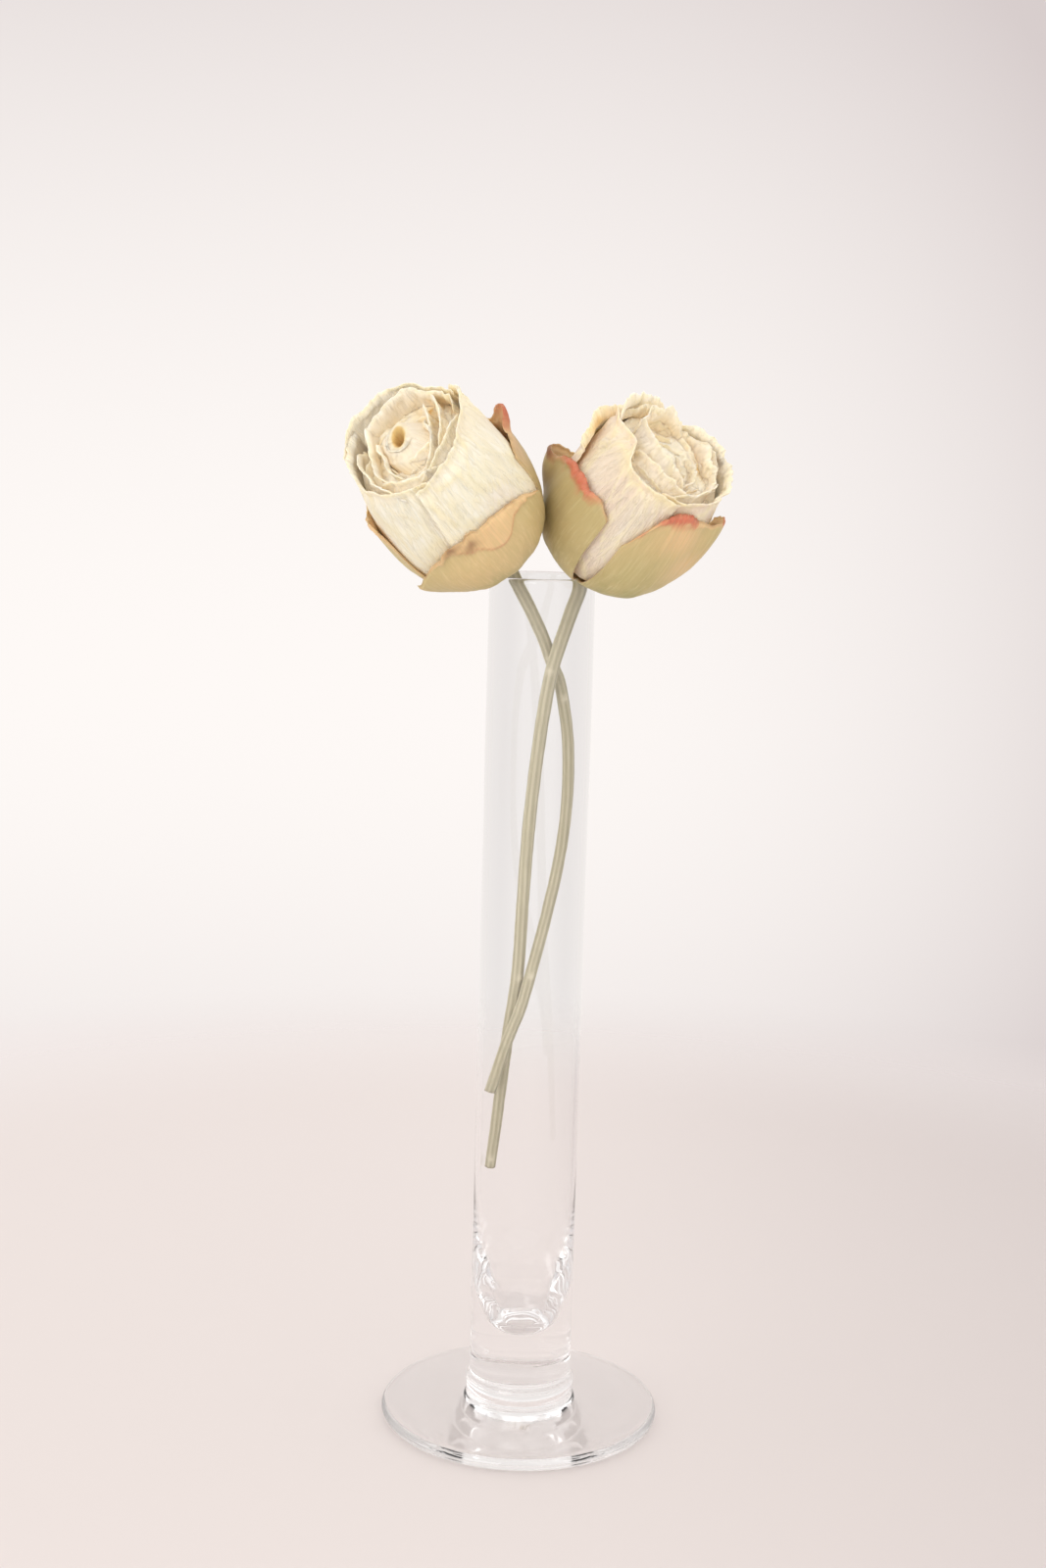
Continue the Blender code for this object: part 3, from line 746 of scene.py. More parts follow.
def stem_material(settings):
    """Dry stem: furrows run along it, and pale scars lie where leaves and thorns were."""
    paint = Paint("dried_stem_finish")
    places = paint.places()
    fibres = paint.noise(paint.stretched(places, (1400.0, 1400.0, 70.0)), 1.0, 4.0, 0.6)
    patches = paint.noise(places, 90.0)
    colour = paint.layers(
        settings.bark,
        (paint.span(paint.tone("furrow"), 0.2, 0.8) * 0.55, settings.shade),
        (paint.span(fibres, 0.35, 0.75) * 0.35, settings.shade),
        (paint.span(patches, 0.45, 0.75) * 0.35, srgb(180, 171, 142)),
        (paint.tone("scar"), settings.scar))
    height = fibres * 0.7 + paint.noise(places, 900.0, 2.0) * 0.4
    return paint.finish(Base_Color=colour, Roughness=0.7, Specular_IOR_Level=0.3,
                        Normal=paint.bump(height, 0.5, 0.12))


def guard_material(settings):
    """Leathery outer petals: olive with fine veins, peach folds, coral rims and browned edges,
    with painted shade where the heads touch.
    """
    paint = Paint("guard_petal_finish")
    places = paint.places()
    veins = paint.noise(paint.chart((1.6, 0.12, 1.0)), 1.0, 4.0, 0.62, 0.35)
    fine = paint.noise(paint.chart((5.0, 0.5, 1.0)), 1.0, 3.0, 0.6, 0.2)
    patches = paint.noise(places, 95.0, 3.0, 0.55)
    colour = paint.layers(
        settings.olive,
        (paint.span(patches, 0.38, 0.68) * paint.tone("low"), settings.green),
        (paint.span(veins, 0.48, 0.72) * 0.6, srgb(210, 198, 150)),
        (paint.span(fine, 0.5, 0.75) * 0.4, srgb(166, 151, 95)),
        (paint.tone("lining"), settings.lining),
        (paint.tone("peach") * (0.75 + paint.span(veins, 0.3, 0.7) * 0.5), settings.peach),
        (paint.tone("coral") * (0.7 + paint.span(fine, 0.3, 0.7) * 0.5), settings.coral),
        # Browned edges and bruises, and painted shade where the heads touch.
        (paint.tone("brown") * (0.7 + paint.span(patches, 0.35, 0.65) * 0.5), settings.brown))
    height = veins * 0.8 + fine * 0.4 + paint.noise(places, 600.0) * 0.25
    return paint.finish(
        Base_Color=colour, Roughness=0.52, Specular_IOR_Level=0.35, Subsurface_Weight=0.12,
        Subsurface_Radius=(1.0, 0.6, 0.3), Subsurface_Scale=0.0012,
        Normal=paint.bump(height, 0.45, 0.16))


def cream_material(settings):
    """Papery cream petals: paler inside the bloom as painted light, golden in the depths and
    deeper golden in the deepest, partly their colour and partly painted shade.

    A little blush, fine slanted creases, veins along the petal and frayed golden edges.
    """
    paint = Paint("cream_petal_finish")
    places = paint.places()
    creases = paint.noise(paint.chart((0.55, 0.16, 1.0), 24.0), 1.0, 4.0, 0.6, 0.9) - 0.5
    lines = paint.span(1.0 - creases * creases * 130.0, 0.0, 1.0)
    veins = paint.noise(paint.chart((2.4, 0.18, 1.0)), 1.0, 4.0, 0.6, 0.3)
    patches = paint.noise(places, 120.0, 4.0, 0.55)
    mottle = paint.noise(places, 330.0, 3.0, 0.6)
    colour = paint.layers(
        settings.cream,
        (paint.span(patches, 0.42, 0.66) * 0.5, srgb(250, 237, 204)),
        (paint.span(mottle, 0.45, 0.75) * 0.35, srgb(255, 246, 232)),
        (lines * 0.34, srgb(246, 231, 192)),
        (paint.span(veins, 0.5, 0.8) * 0.2, srgb(242, 226, 192)),
        (paint.tone("blush") * 0.75, settings.blush),
        # Painted shade in the creases.
        (paint.tone("crease") * 0.8, srgb(246, 229, 188)),
        # Painted light: a paler cream inside the bloom.
        (paint.tone("pale") * 0.6, settings.pale),
        # Golden depths, partly the petals' colour and partly painted shade in the hollows.
        (paint.tone("honey"), settings.honey),
        (paint.span(paint.tone("honey"), 0.7, 1.0), settings.gold_and_shade),
        (paint.tone("edge") * paint.span(mottle, 0.35, 0.6) * 0.7, srgb(244, 228, 184)))
    height = lines * 0.5 + veins * 0.7 + paint.noise(places, 700.0) * 0.25
    return paint.finish(
        Base_Color=colour, Roughness=0.62, Specular_IOR_Level=0.25, Subsurface_Weight=0.4,
        Subsurface_Radius=(1.0, 0.95, 0.85), Subsurface_Scale=0.0013,
        Normal=paint.bump(height, 0.9, 0.27))


def floor_material(settings):
    """Plain pale floor that fades into the background away from the vase, with painted shade
    that darkens it towards the right.
    """
    paint = Paint("floor_finish")
    places = paint.places()
    reach = paint.out("ShaderNodeVectorMath", {"operation": "LENGTH"}, {0: places}, 1)
    speckle = paint.noise(places, 260.0, 3.0, 0.6)
    colour = paint.layers(
        settings.floor,
        # Painted shade: darker towards the right, as the light falls off.
        (paint.span(paint.parts(places)[0], -0.05, 0.26), srgb(199, 190, 189)),
        (paint.span(speckle, 0.68, 0.8) * 0.10, srgb(190, 182, 180)))
    return paint.finish(Base_Color=colour, Roughness=0.8, Specular_IOR_Level=0.2,
                        Alpha=1.0 - paint.span(reach, 0.28, 0.50))


# Shapes


def vase_outline():
    """The vase's half section, from the middle of its underside round to its cavity's floor.

    Arcs, straight lines and smooth curves through measured points follow each other. A sine
    that dies away upwards marks the rings where the tube was fused to its foot.
    """
    edge, lip, inner = FOOT_EDGE / 2, WALL / 2, TUBE_RADIUS - WALL
    brim = VASE_HEIGHT - lip
    rings = np.linspace(*FUSED_RINGS, 30)
    rise = rings - rings[0]
    fused = TUBE_RADIUS + FUSED_RINGS_HEIGHT * np.sin(rise * 1.8) * np.exp(-rise / 4.0)
    return np.vstack([
        grid_of(np.linspace(0.0, FOOT_RADIUS - edge, 14), 0.0)[:-1],
        arc((FOOT_RADIUS - edge, edge), edge, -90.0, 90.0, 16),
        smooth_path(FOOT_TOP, 44)[0],
        smooth_path(COLLAR, 34)[0],
        grid_of(fused, rings),
        grid_of(TUBE_RADIUS, np.linspace(WALL_FOOT, brim - 0.6, 60)),
        arc((TUBE_RADIUS - lip, brim), lip, 0.0, 180.0, 15),
        grid_of(inner, np.linspace(brim - 0.6, CAVITY_TOP, 50)),
        smooth_path(CAVITY, 110)[0],
        [(0.0, CAVITY_FLOOR)]])


def build_vase(settings):
    """The clear vase: its outline's radius times the cosine and sine of even angles.

    Noise round it makes the hand-worked glass's waves. They are stronger on the cavity's floor
    and on the foot's edge, and fade out at the axis.
    """
    outline = vase_outline()
    radius, height = outline[1:-1, :1], outline[1:-1, 1:]
    angles = np.arange(VASE_SIDES) * FULL_TURN / VASE_SIDES
    turns = angles / FULL_TURN
    cavity = ease(58.0, 30.0, height) * (height > CAVITY_FLOOR - 1.0) * (radius < TUBE_RADIUS - 0.9)
    slow = noise(turns * 6, height / 22.0, 5, 6) * settings.ripple * (height > 20.0)
    quick = noise(turns * 10, height / 4.2, 8, 10) * CAVITY_WAVES * cavity
    foot = noise(turns * 22, height / 5.0 + 0.5, 9, 22) * FOOT_WAVES * ease(34.0, 39.0, radius)
    wavy = (slow + quick) * ease(0.0, 6.0, radius) + foot
    points, faces = capped_tube(turned(radius + wavy, angles, height),
                                (0.0, 0.0, outline[0, 1]), (0.0, 0.0, outline[-1, 1]))
    new_piece("vase_glass", points, faces, glass_material(settings), "vase", {})


def build_stem(head, settings, material):
    """A stem: a ring carried along a smooth path.

    Its radius grows evenly, widens into the hip at the top, and is raised by ridges that follow
    the cosine of seven times the angle, turning slowly along the stem. Noise makes it knobbly,
    and each scar is a bell curve along it and round it.
    """
    axis = head_axes(head)[:, 2]
    top = head_foot(head) - axis * TOUCH_GAP
    path, lengths = smooth_path([*head.stem_low, top - axis * HIP_LENGTH, top], STEM_RINGS)
    low, high = head.stem_radii
    hip = ease(lengths[-1] - HIP_LENGTH - 1.5, lengths[-1] - 0.6, lengths)
    radii = low + (high - low) * lengths / lengths[-1] + (HIP_RADIUS - high) * hip
    tangents = np.gradient(path, axis=0)
    tangents /= np.linalg.norm(tangents, axis=1)[:, None]
    side = np.array([[1.0, 0.0, 0.0]]) - tangents * tangents[:, :1]
    side /= np.linalg.norm(side, axis=1)[:, None]
    other = np.cross(tangents, side)
    angles = np.arange(STEM_SIDES) * FULL_TURN / STEM_SIDES
    rows = lengths[:, None]
    drift = rows * 0.045 + noise(rows / 14.0, 0.5, head.seed) * 1.2
    lobes = np.cos(STEM_RIDGES * angles + drift)
    knobbly = noise(angles / FULL_TURN * 8, rows / 3.0, head.seed + 1, 8) * 0.05
    scars = 0.0
    for place, angle in STEM_SCARS[head.name]:
        off = np.angle(np.exp(1j * (angles - math.radians(angle)))) * 1.7
        scars = np.maximum(scars, bell(rows, place, 0.9) * bell(off, 0.0, 1.1))
    ring = radii[:, None] * STEM_SHARE + settings.ridge * lobes + knobbly + scars * SCAR_HEIGHT
    rings = (path[:, None] + side[:, None] * (ring * np.cos(angles))[..., None]
             + other[:, None] * (ring * np.sin(angles))[..., None])
    points, faces = capped_tube(rings, path[0], path[-1])
    furrow = np.concatenate([[0.5], (0.5 - 0.5 * lobes).ravel(), [0.5]])
    scar = np.concatenate([[1.0], (scars * 0.9).ravel(), [0.2]])
    new_piece(f"{head.name}_stem_grown", points, faces, material, f"{head.name}_stem",
              {"furrow": furrow, "scar": scar})


def build_guards(head, material):
    """The broad outer petals, each a patch of the head's egg-shaped shell.

    The radius is the belly times sin(a), and the height is the belly's height minus a half
    height times cos(a), for a from the root to the rim. A rim can carry a narrow lobe that bends
    outwards, exp(-x^4) of the place across. The rim turns outwards at its tip, the folded part
    near it stands a little proud, and noise waves the whole petal.
    """
    sheets = Sheets(head, GUARD_TONES)
    rows, columns = GUARD_GRID
    t = (1 - (1 - np.linspace(0.0, 1.0, rows)) ** 1.25)[:, None]
    w = np.linspace(-1.0, 1.0, columns)[None, :]
    first = shell_angle(GUARD_ROOT, GUARD_FOOT, head, head.guard_upper)
    for number, guard in enumerate(head.guards):
        seed = head.seed * 7 + number
        belly = head.radius - guard.depth
        place, width, rise, bend = LOBES.get((head.name, number), NO_LOBE)
        lobe = np.exp(-((w - place) / width) ** 4)
        notch = noise(w * 9, 0.3, seed) * 0.5 + noise(w * 26, 1.3, seed) * 0.35
        rim = run_through(guard.rim, w) + notch + rise * lobe
        last = shell_angle(rim, GUARD_FOOT, head, head.guard_upper)
        angle = first + (last - first) * t
        turn = guard.azimuth + (guard.half_width + guard.root_spread * (1 - t) ** 2) * w
        height = shell_height(angle, GUARD_FOOT, head, head.guard_upper)
        below = rim - height
        fold = run_through(guard.fold, w)
        folded = ease(0.35, -0.35, below - fold) * ease(0.0, 0.8, fold)
        crumpled = ease(5.0, 0.0, below) * ease(0.8, 2.5, fold)
        tip = bell(w, guard.tip_place, TIP_WIDTH)
        out = ease(0.62, 1.0, t) * guard.tip_out * tip + bend * lobe * ease(6.0, 1.5, below)
        out += 0.35 * folded - 0.5 * ease(1.2, 0.0, below)
        out -= (0.9 - 0.5 * guard.depth) * ease(0.45, 1.0, t) * (1.0 - tip)
        out += wave(GUARD_SWELL, turn, height, seed + 40) * ease(0.1, 0.5, t)
        out += crumpled * (wave(GUARD_CRUMPLE, turn, height, seed + 50)
                           + wave(GUARD_RIDGES, turn, height, seed + 60, 0.0, ridges))
        out += wave(GUARD_GRAIN, turn, height, seed + 70) * ease(0.15, 0.6, t)
        height = height - out * np.cos(angle)
        grid = turned((belly + out) * np.sin(angle), np.radians(turn), height)
        coral = np.clip(spots(CORAL[head.name], turn, below) * 1.4, 0.0, 1.0)
        coral = coral * ease(0.25, 0.6, coral + 0.4 * noise(turn / 5.0, height / 2.5, 3))
        line = bell(below, fold, 0.45) * ease(1.5, 4.0, fold) * 0.45
        coral = np.maximum(coral, line * 0.9)
        peach = np.maximum(folded * 0.74, spots(PEACH[head.name], turn, below))
        edge = ease(0.9, 0.1, below) * (0.35 + 0.3 * noise(w * 14, 0.7, seed))
        # Browned edges and bruises, with some patches of painted shade where the heads touch.
        brown = np.clip(np.maximum(edge, spots(BROWN_AND_SHADE[head.name], turn, below)), 0.0, 1.0)
        sheets.add(grid, thinned(grid, GUARD_THICKNESS - GUARD_THINNING * ease(3.0, 0.0, below)),
                   grid_of(np.radians(turn) * belly, t * belly * 2.2),
                   coral=(coral, coral * 0.6), peach=(peach, peach * 0.4),
                   brown=(brown, brown * 0.5), low=(ease(0.95, 0.3, t), 0.0), lining=(0.0, 0.9))
    add_hub(sheets)
    sheets.piece(f"{head.name}_guards_dried", material, f"{head.name}_guard_petals",
                 "guard_petal")


def add_hub(sheets):
    """The cup where the guard petals meet: a dish that rises as the square of its radius."""
    radius = np.linspace(0.25, 6.6, 12)[:, None]
    angle = np.linspace(0.0, FULL_TURN, 49)
    outer = turned(radius, angle, 0.18 + 0.62 * (radius / 5.0) ** 2)
    sheets.add(outer, outer + np.array([0.0, 0.0, 0.8]), grid_of(radius, angle * 5.0),
               brown=(0.1, 0.0), low=(1.0, 0.0), lining=(0.6, 0.0))


def heart_petals(head):
    """Rings of small petals that fill a head's heart, with small seeded differences."""
    draw = np.random.default_rng(head.seed)
    for depth, layer in enumerate(HEART_LAYERS, start=3):
        for number in range(layer.count):
            azimuth = layer.turn + 360.0 * number / layer.count + draw.uniform(-8.0, 8.0)
            crest = head.mouth + layer.lip_height + draw.uniform(-0.6, 0.6)
            heights = crest - np.array([4.0, 0.8, 0.0, 0.8, 4.0]) + draw.uniform(-0.5, 0.5, 5)
            radii = layer.lip_radius + draw.uniform(-0.5, 0.5, 5) + np.linspace(-0.5, 0.5, 5)
            bellies = layer.belly + np.linspace(-0.4, 0.4, 5)
            yield Petal(azimuth, layer.half_width, 0.0, bellies, layer.root, heights, radii, 0.4,
                        0.7, depth)


def build_bloom(head, settings, material):
    """The cream petals, in two pieces: the outer layers, and the heart inside them."""
    outside, heart = Sheets(head, CREAM_TONES), Sheets(head, CREAM_TONES)
    for number, petal in enumerate([*head.petals, *heart_petals(head)]):
        add_petal(outside if petal.depth < 2 else heart, petal, number, settings)
    add_core(outside)
    add_bed(heart)
    if head.name == "left":
        add_bud(heart)
    node = f"{head.name}_bloom"
    outside.piece(f"{node}_outer_petals", material, node, "cream_petal")
    heart.piece(f"{node}_heart_petals", material, node, "cream_petal")


def add_core(sheets):
    """The solid middle that carries the petals: a barrel, closed by a narrower one inside it.

    Its radius at each height is multiplied by the cosine and sine of even angles.
    """
    radius, height = np.array(CORE_SECTION).T[..., None]
    outer = turned(radius, np.linspace(0.0, FULL_TURN, 41), height)
    # Golden all over: painted shade deep in the bloom, partly its colour.
    sheets.add(outer, outer * np.array([0.9, 0.9, 1.0]), outer[..., :2], honey=(1.0, 1.0))


def add_bed(sheets):
    """The crowded bed of small petals under the heart.

    It is a disc whose height falls a little towards its edge and is crumpled by noise and by
    ridges of noise. Its radius is smaller by a bell curve over azimuth where a petal leans in.
    """
    head = sheets.head
    widest, less, azimuth = BED_REACH[head.name]
    rows, columns = BED_GRID
    angle = np.linspace(FULL_TURN, 0.0, columns)
    share = np.linspace(0.01, 1.0, rows)[:, None]
    radius = share * (widest - less * bell(np.degrees(angle), azimuth, LEANING_WIDTH))
    x, y = radius * np.cos(angle), radius * np.sin(angle)
    height = head.mouth - BED_DEPTH - 0.5 * ease(0.7, 1.0, share)
    height = height + noise(x / 4.2 + 20, y / 4.2 + 20, head.seed + 3)
    height = height + 0.7 * ridges(x / 5.0 + 20, y / 3.0 + 30, head.seed + 4)
    grid = grid_of(x, y, height)
    # Golden over the bed, partly its colour and partly painted shade, strongest in a golden hollow
    # of painted shade.
    honey = 0.12 + 0.2 * noise(x / 3.0 + 10, y / 3.0 + 10, head.seed + 5)
    off = (x - GOLDEN_SHADE_PLACE[0]) ** 2 + (y - GOLDEN_SHADE_PLACE[1]) ** 2
    honey = np.clip(honey + 0.7 * np.exp(-off / GOLDEN_SHADE_SPREAD), 0.0, 1.0)
    # Its top face takes the pale colour, which is painted light.
    sheets.add(grid, grid - np.array([0.0, 0.0, 1.0]), grid[..., :2], honey=(honey, honey),
               pale=(1.0, 0.0))


def add_bud(sheets):
    """The bud: a dome with a small opening, a section carried round a centre that shifts.

    The section's radius, with slow waves round it, times the cosine and sine of the angle is
    added to a centre that moves from the foot's place to the opening's place. Above a line that
    climbs once round the bud the radius is a little less, as where one petal wraps the next. The
    opening is tilted by a cosine of the angle and is longer one way.
    """
    seed = sheets.head.seed
    section, lengths = smooth_path(BUD_SECTION, 70)
    radius, height = section[:, :1], section[:, 1:]
    along = (lengths / lengths[-1])[:, None]
    angle = np.linspace(BUD_START, BUD_START + FULL_TURN, 81)
    share = ease(0.22, 0.60, along)
    place = np.array(BUD_FOOT_PLACE) * (1 - share) + np.array(BUD_TOP_PLACE) * share
    around = (angle - BUD_START) / FULL_TURN
    slow = 0.28 * noise(around * 6, height / 6.0, seed + 8, 6)
    slow = slow + 0.10 * noise(around * 24, height / 14.0, seed + 9, 24)
    rim = 45.5 + 6.6 * around + 0.5 * noise(around * 7, 0.5, seed + 12, 7)
    wrapped = ease(rim, rim + 0.35, height) * (along < 0.66)
    spread = radius + (slow - BUD_WRAP * wrapped) * ease(0.5, 4.0, radius)
    long_way = 1.15 + 0.2 * ease(5.0, 2.0, radius)
    tilt = 1.1 * np.cos(angle - math.radians(BUD_TILT)) * ease(6.0, 2.4, radius)
    grid = grid_of(place[:, :1] + spread * np.cos(angle),
                   place[:, 1:] + long_way * spread * np.sin(angle), height - tilt)
    # Golden in the opening and just above where one petal wraps the next, which is painted shade,
    # and low on the bud, partly colour and partly painted shade.
    opening = ease(0.66, 0.78, along)
    foot = np.maximum(ease(50.5, 47.5, height) * 0.4, bell(height, rim + 0.5, 0.5) * 0.35)
    honey = np.maximum(opening, foot * (1 - opening))
    sheets.add(grid, thinned(grid, BUD_THICKNESS),
               grid_of(angle * 6.0, lengths[:, None]), honey=(honey, honey), blush=(0.5, 0.0))


def add_petal(sheets, petal, number, settings):
    """One cream petal as a thin closed sheet.

    Each place across the petal has its own egg-shaped profile: the radius is the belly there
    times sin(a), and the height is the belly's height minus a half height times cos(a), up to
    the angle whose sine is the rim's radius over the belly. The rim falls at its two ends and
    curls outwards as the square of the last millimetres, ruffles follow noise over azimuth so
    that neighbours nest, creases are ridges of slanted noise along the petal, and an outermost
    petal fills out towards its foot. Inner petals and every inner face are paler, which is
    painted light, and golden in their depths, partly their colour and partly painted shade.
    The creases carry painted shade.
    """
    head = sheets.head
    small = number >= len(head.petals)
    rows, columns = SMALL_PETAL_GRID if small else PETAL_GRIDS[min(petal.depth, 2)]
    seed = head.seed * 13
    own = 9.7 * number
    t = (1 - (1 - np.linspace(0.0, 1.0, rows)) ** 1.5)[:, None]
    w = np.linspace(-1.0, 1.0, columns)[None, :]
    foot = BLOOM_FOOT + LAYER_RISE * petal.depth
    notch = 0.5 * noise(w * 5 + own, 0.5, seed) + 0.22 * noise(w * 17, own, seed)
    rim = run_through(petal.heights, w) + notch * (0.5 + petal.ruffle)
    rim = rim - CORNER_DROPS[min(petal.depth, 2)] * ease(0.76, 1.0, np.abs(w))
    belly = run_through(petal.bellies, w)
    lip = np.minimum(run_through(petal.radii, w), belly * 0.985)
    upper = (rim - head.radius) / np.sqrt(1.0 - (lip / belly) ** 2)
    first = shell_angle(petal.root, foot, head, upper)
    angle = first + (math.pi - np.arcsin(lip / belly) - first) * t
    turn = petal.azimuth + (petal.half_width + petal.root_spread * (1 - t) ** 2) * w
    radius = belly * np.sin(angle)
    height = shell_height(angle, foot, head, upper)
    below = np.hypot(radius - radius[-1:], height - height[-1:])
    out = petal.ruffle * wave(RUFFLE, turn, belly, seed + 1) * ease(12.0, 0.0, below)
    out += petal.ruffle * wave(FRILL, turn, height, seed + 2, own) * ease(5.0, 0.0, below)
    out += petal.curl * ease(2.4, 0.0, below) ** 2
    across = np.radians(turn) * belly
    warp = wave(WARP, across, height, seed + 7, own) + own
    long_crease = wave(LONG_CREASE, across * 0.9 + height * 0.45, height, seed + 4, warp, ridges)
    short_crease = wave(SHORT_CREASE, across, height, seed + 5, warp - height / 9.0, ridges)
    depth = settings.crumple * ease(0.15, 0.55, t) * (1.0 if petal.depth < 2 else 0.6)
    depth = depth * (0.6 + 0.7 * ease(16.0, 2.0, below))
    out += depth * (wave(BEND, across, height, seed + 3, own) + 0.6 * long_crease
                    + 0.4 * short_crease)
    # Painted shade in the creases of the petal.
    crease = np.maximum(long_crease, 0.7 * short_crease) ** 2 * ease(0.1, 0.5, t)
    crease = crease * (1.0 if petal.depth == 0 else 0.45)
    rolled = bell(below, 4.4, 1.8) - bell(below, 1.9, 0.9)
    out += 0.45 * noise(turn / 16.0 + own, 0.5, seed + 8) * rolled
    crumpled = spots(CRUMPLED[head.name], turn, height) * ease(0.3, 0.6, t)
    out += crumpled * (wave(CRUMPLE, turn, height, seed + 9, own)
                       + wave(CRUMPLE_RIDGES, turn, height, seed + 10, own, ridges))
    out += 0.22 * bell(below, 0.8, 0.6)
    if petal.depth == 0:
        out += FULLER_FOOT * ease(0.45, 0.1, t)
    height = height - out * np.cos(angle)
    grid = turned(radius + out * np.sin(angle), np.radians(turn), height)
    thickness = 1.0 + 0.9 * bell(below, 0.8, 0.7) - 0.5 * ease(0.6, 0.0, below)
    # Golden by depth below the mouth: partly the petals' colour and partly painted shade.
    deep = ease(3.8, 13.0, head.mouth - height)
    # Inner petals and every inner face take the pale colour, which is painted light.
    inside = 1.0 if petal.depth else 0.0
    blush = head.blush + wave(BLUSH_DRIFT, turn, height, seed + 6, own)
    edge = np.maximum(ease(1.4, 0.2, below) * 0.8, crumpled)
    sheets.add(grid, thinned(grid, settings.thickness * thickness),
               grid_of(across, t * 46.0 + own),
               honey=(deep * inside, np.maximum(deep, spots(GOLDEN_SHADE[head.name], turn, height))),
               blush=(blush, blush), edge=(edge, edge), crease=(crease, crease),
               pale=(inside, 1.0))


# Stage


def build_floor(settings):
    """A round floor: rings of even steps from the middle outwards."""
    rings, sides = FLOOR_GRID
    radius = np.linspace(0.001, FLOOR_RADIUS, rings)[:, None]
    angle = np.linspace(0.0, FULL_TURN, sides, endpoint=False)
    points = turned(radius, angle, -0.0002).reshape(-1, 3)
    numbers = np.arange(rings * sides).reshape(rings, sides)
    faces = grid_faces(closed_round(numbers))[:, ::-1].tolist()
    mesh = bpy.data.meshes.new("floor")
    mesh.from_pydata(points.tolist(), [], [*faces, numbers[0].tolist()])
    mesh.materials.append(floor_material(settings))
    mesh.shade_smooth()
    item = add_object("floor", mesh)


def build_world(settings):
    """The world: what the camera and the glass see behind the vase, and a soft studio.

    The background is brightest a little left of the middle and falls off to the right, to the
    top and to the bottom. Gloss and glass see a studio that is darker at its sides and behind
    the camera, and gloss sees a plain wall ahead. Matt surfaces are lit evenly from all round.
    """
    world = bpy.data.worlds.new("studio")
    bpy.context.scene.world = world
    world.use_nodes = True
    sky = Nodes(world.node_tree)
    across, ahead, up = sky.parts(sky.out("ShaderNodeTexCoord"))
    right = sky.step(across, -0.10, 0.40) ** 3.0
    falloff = right * 0.72 + sky.step(up, HORIZON, 0.30) ** 2.0 * 0.41
    falloff = (falloff + sky.step(up, HORIZON, -0.30) ** 2.0 * 0.13) / 0.316
    backdrop = sky.mix(sky.step(up, *FLOOR_LINE), sky.mix(falloff, settings.wall, settings.shade),
                       sky.mix(right * 2.2, settings.far_floor, settings.shade))
    sideways = sky.step(across * across, 0.35, 0.9) * sky.step(up, 0.7, 0.3)
    gloss = sky.rays("Is Glossy Ray")
    studio = sky.mix(sky.step(ahead, 0.0, 0.6), sky.mix(sideways, ROOM, ROOM_SIDES),
                     sky.mix(gloss, backdrop, settings.wall))
    matt = sky.mix(sky.step(up, -0.6, 0.8), MATT_FROM_BELOW, MATT_FROM_ABOVE)
    camera = sky.rays("Is Camera Ray")
    direct = 1.0 - sky.step(sky.rays("Diffuse Depth"), 0.0, 1.0)
    shiny = (gloss + sky.rays("Is Transmission Ray")) * direct
    background = world.node_tree.nodes["Background"]
    sky.put(background.inputs["Color"], sky.mix(camera, sky.mix(shiny, matt, studio), backdrop))
    sky.put(background.inputs["Strength"],
            settings.room_light + (camera + shiny) * (1.0 - settings.room_light))


def add_lamp(name, place, aim, size, power, colour):
    """One square lamp that faces a point."""
    lamp = bpy.data.lights.new(name, "AREA")
    lamp.energy = power
    lamp.size = size
    lamp.color = colour
    item = add_object(name, lamp)
    item.location = place
    item.rotation_euler = (Vector(aim) - Vector(place)).to_track_quat("-Z", "Y").to_euler()


def build_lamps(settings):
    """A large soft lamp overhead and a softer one in front."""
    add_lamp("soft_light", (0.25, -0.15, 1.25), (0.0, 0.0, 0.2), 0.9, settings.soft_light,
             (1.0, 0.98, 0.95))
    add_lamp("fill_light", (-0.6, -1.1, 0.5), (0.0, 0.0, 0.25), 0.7, settings.fill_light,
             (1.0, 0.985, 0.97))


def build_camera():
    """The photograph's camera: turned by yaw, then pitched down, then rolled."""
    pitch, yaw, roll = (math.radians(value) for value in
                        (CAMERA_PITCH, CAMERA_YAW, CAMERA_ROLL))
    forward = Vector((math.sin(yaw) * math.cos(pitch), math.cos(yaw) * math.cos(pitch),
                      -math.sin(pitch)))
    level = Vector((math.cos(yaw), -math.sin(yaw), 0.0))
    upright = level.cross(forward)
    right = level * math.cos(roll) + upright * math.sin(roll)
    up = upright * math.cos(roll) - level * math.sin(roll)
    camera = bpy.data.cameras.new("camera")
    camera.sensor_width = SENSOR
    camera.lens = LENS
    camera.clip_start = 0.01
    item = add_object("camera", camera)
    item.matrix_world = (Matrix.Translation(Vector(CAMERA_PLACE) * MM)
                         @ Matrix((right, up, -forward)).transposed().to_4x4())
    bpy.context.scene.camera = item


def let_light_travel(scene):
    """Lets light pass through enough layers of glass and bounce between the petals."""
    scene.cycles.max_bounces = 24
    scene.cycles.diffuse_bounces = 8
    scene.cycles.glossy_bounces = 16
    scene.cycles.transmission_bounces = 24


# Operators


class ROSES_OT_stage(bpy.types.Operator):
    """Adds the floor, the background, the lamps and the camera"""

    bl_idname = "roses.stage"
    bl_label = "Stage, lamps and camera"

    def execute(self, context):
        settings = context.scene.rose_stage
        build_floor(settings)
        build_world(settings)
        build_lamps(settings)
        build_camera()
        let_light_travel(context.scene)
        return {"FINISHED"}


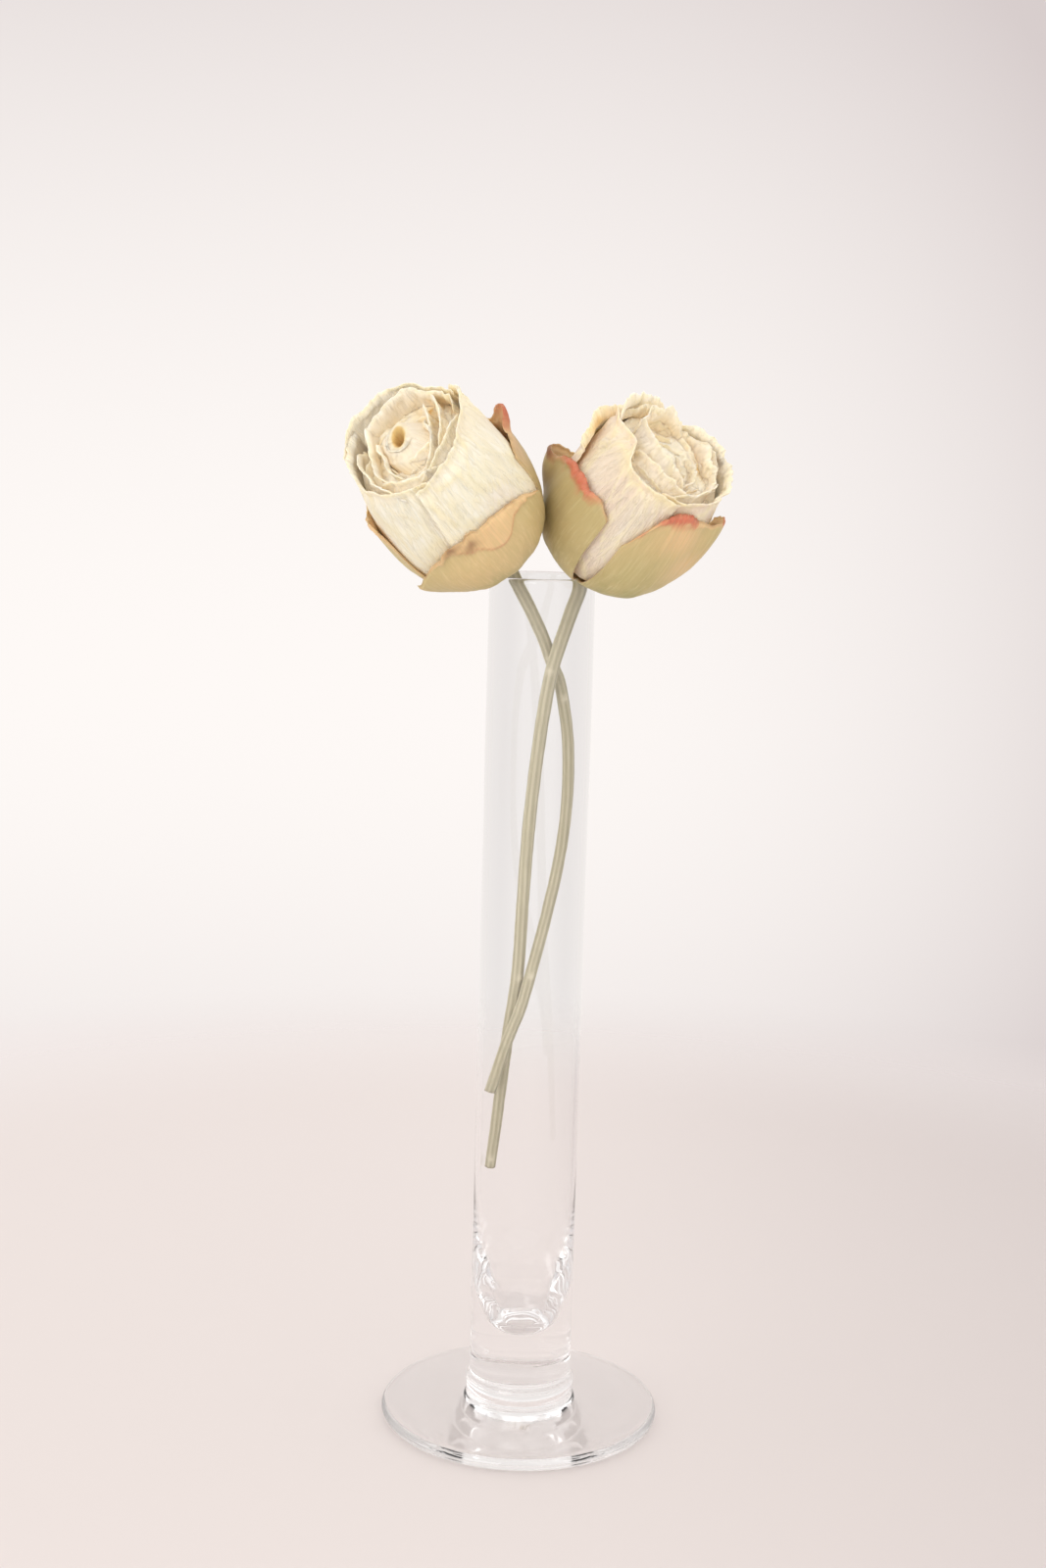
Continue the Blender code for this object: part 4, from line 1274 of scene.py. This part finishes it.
class ROSES_OT_vase(bpy.types.Operator):
    """Builds the footed glass vase"""

    bl_idname = "roses.vase"
    bl_label = "Vase"

    def execute(self, context):
        build_vase(context.scene.rose_vase)
        return {"FINISHED"}


class ROSES_OT_stems(bpy.types.Operator):
    """Builds the two dried stems"""

    bl_idname = "roses.stems"
    bl_label = "Stems"

    def execute(self, context):
        settings = context.scene.rose_stems
        material = stem_material(settings)
        for head in HEADS:
            build_stem(head, settings, material)
        return {"FINISHED"}


class ROSES_OT_guards(bpy.types.Operator):
    """Builds the guard petals of both heads"""

    bl_idname = "roses.guards"
    bl_label = "Guard petals"

    def execute(self, context):
        material = guard_material(context.scene.rose_guards)
        for head in HEADS:
            build_guards(head, material)
        return {"FINISHED"}


class ROSES_OT_blooms(bpy.types.Operator):
    """Builds the cream petals of both heads"""

    bl_idname = "roses.blooms"
    bl_label = "Cream petals"

    def execute(self, context):
        settings = context.scene.rose_blooms
        material = cream_material(settings)
        for head in HEADS:
            build_bloom(head, settings, material)
        return {"FINISHED"}


class ROSES_PT_panel(bpy.types.Panel):
    """Lists the settings and the operators"""

    bl_idname = "ROSES_PT_panel"
    bl_label = "Dried roses"
    bl_space_type = "VIEW_3D"
    bl_region_type = "UI"
    bl_category = "Roses"

    def draw(self, context):
        for name, group in SETTINGS.items():
            box = self.layout.box()
            for key in group.__annotations__:
                box.prop(getattr(context.scene, name), key)
        for operator in OPERATORS:
            self.layout.operator(operator.bl_idname)


SETTINGS = {
    "rose_stage": StageSettings,
    "rose_vase": VaseSettings,
    "rose_stems": StemSettings,
    "rose_guards": GuardSettings,
    "rose_blooms": BloomSettings,
}
OPERATORS = (ROSES_OT_stage, ROSES_OT_vase, ROSES_OT_stems, ROSES_OT_guards, ROSES_OT_blooms)
CLASSES = (*SETTINGS.values(), *OPERATORS, ROSES_PT_panel)


def register():
    """Registers the classes and hangs the settings on the scene."""
    for item in CLASSES:
        bpy.utils.register_class(item)
    for name, group in SETTINGS.items():
        setattr(bpy.types.Scene, name, bpy.props.PointerProperty(type=group))


def unregister():
    """Takes the settings and the classes away again."""
    for name in SETTINGS:
        delattr(bpy.types.Scene, name)
    for item in reversed(CLASSES):
        bpy.utils.unregister_class(item)


def main():
    """Builds everything in order."""
    register()
    bpy.context.scene.view_settings.view_transform = "Standard"
    bpy.ops.roses.stage()
    bpy.ops.roses.vase()
    bpy.ops.roses.stems()
    bpy.ops.roses.guards()
    bpy.ops.roses.blooms()


if __name__ == "__main__":
    main()
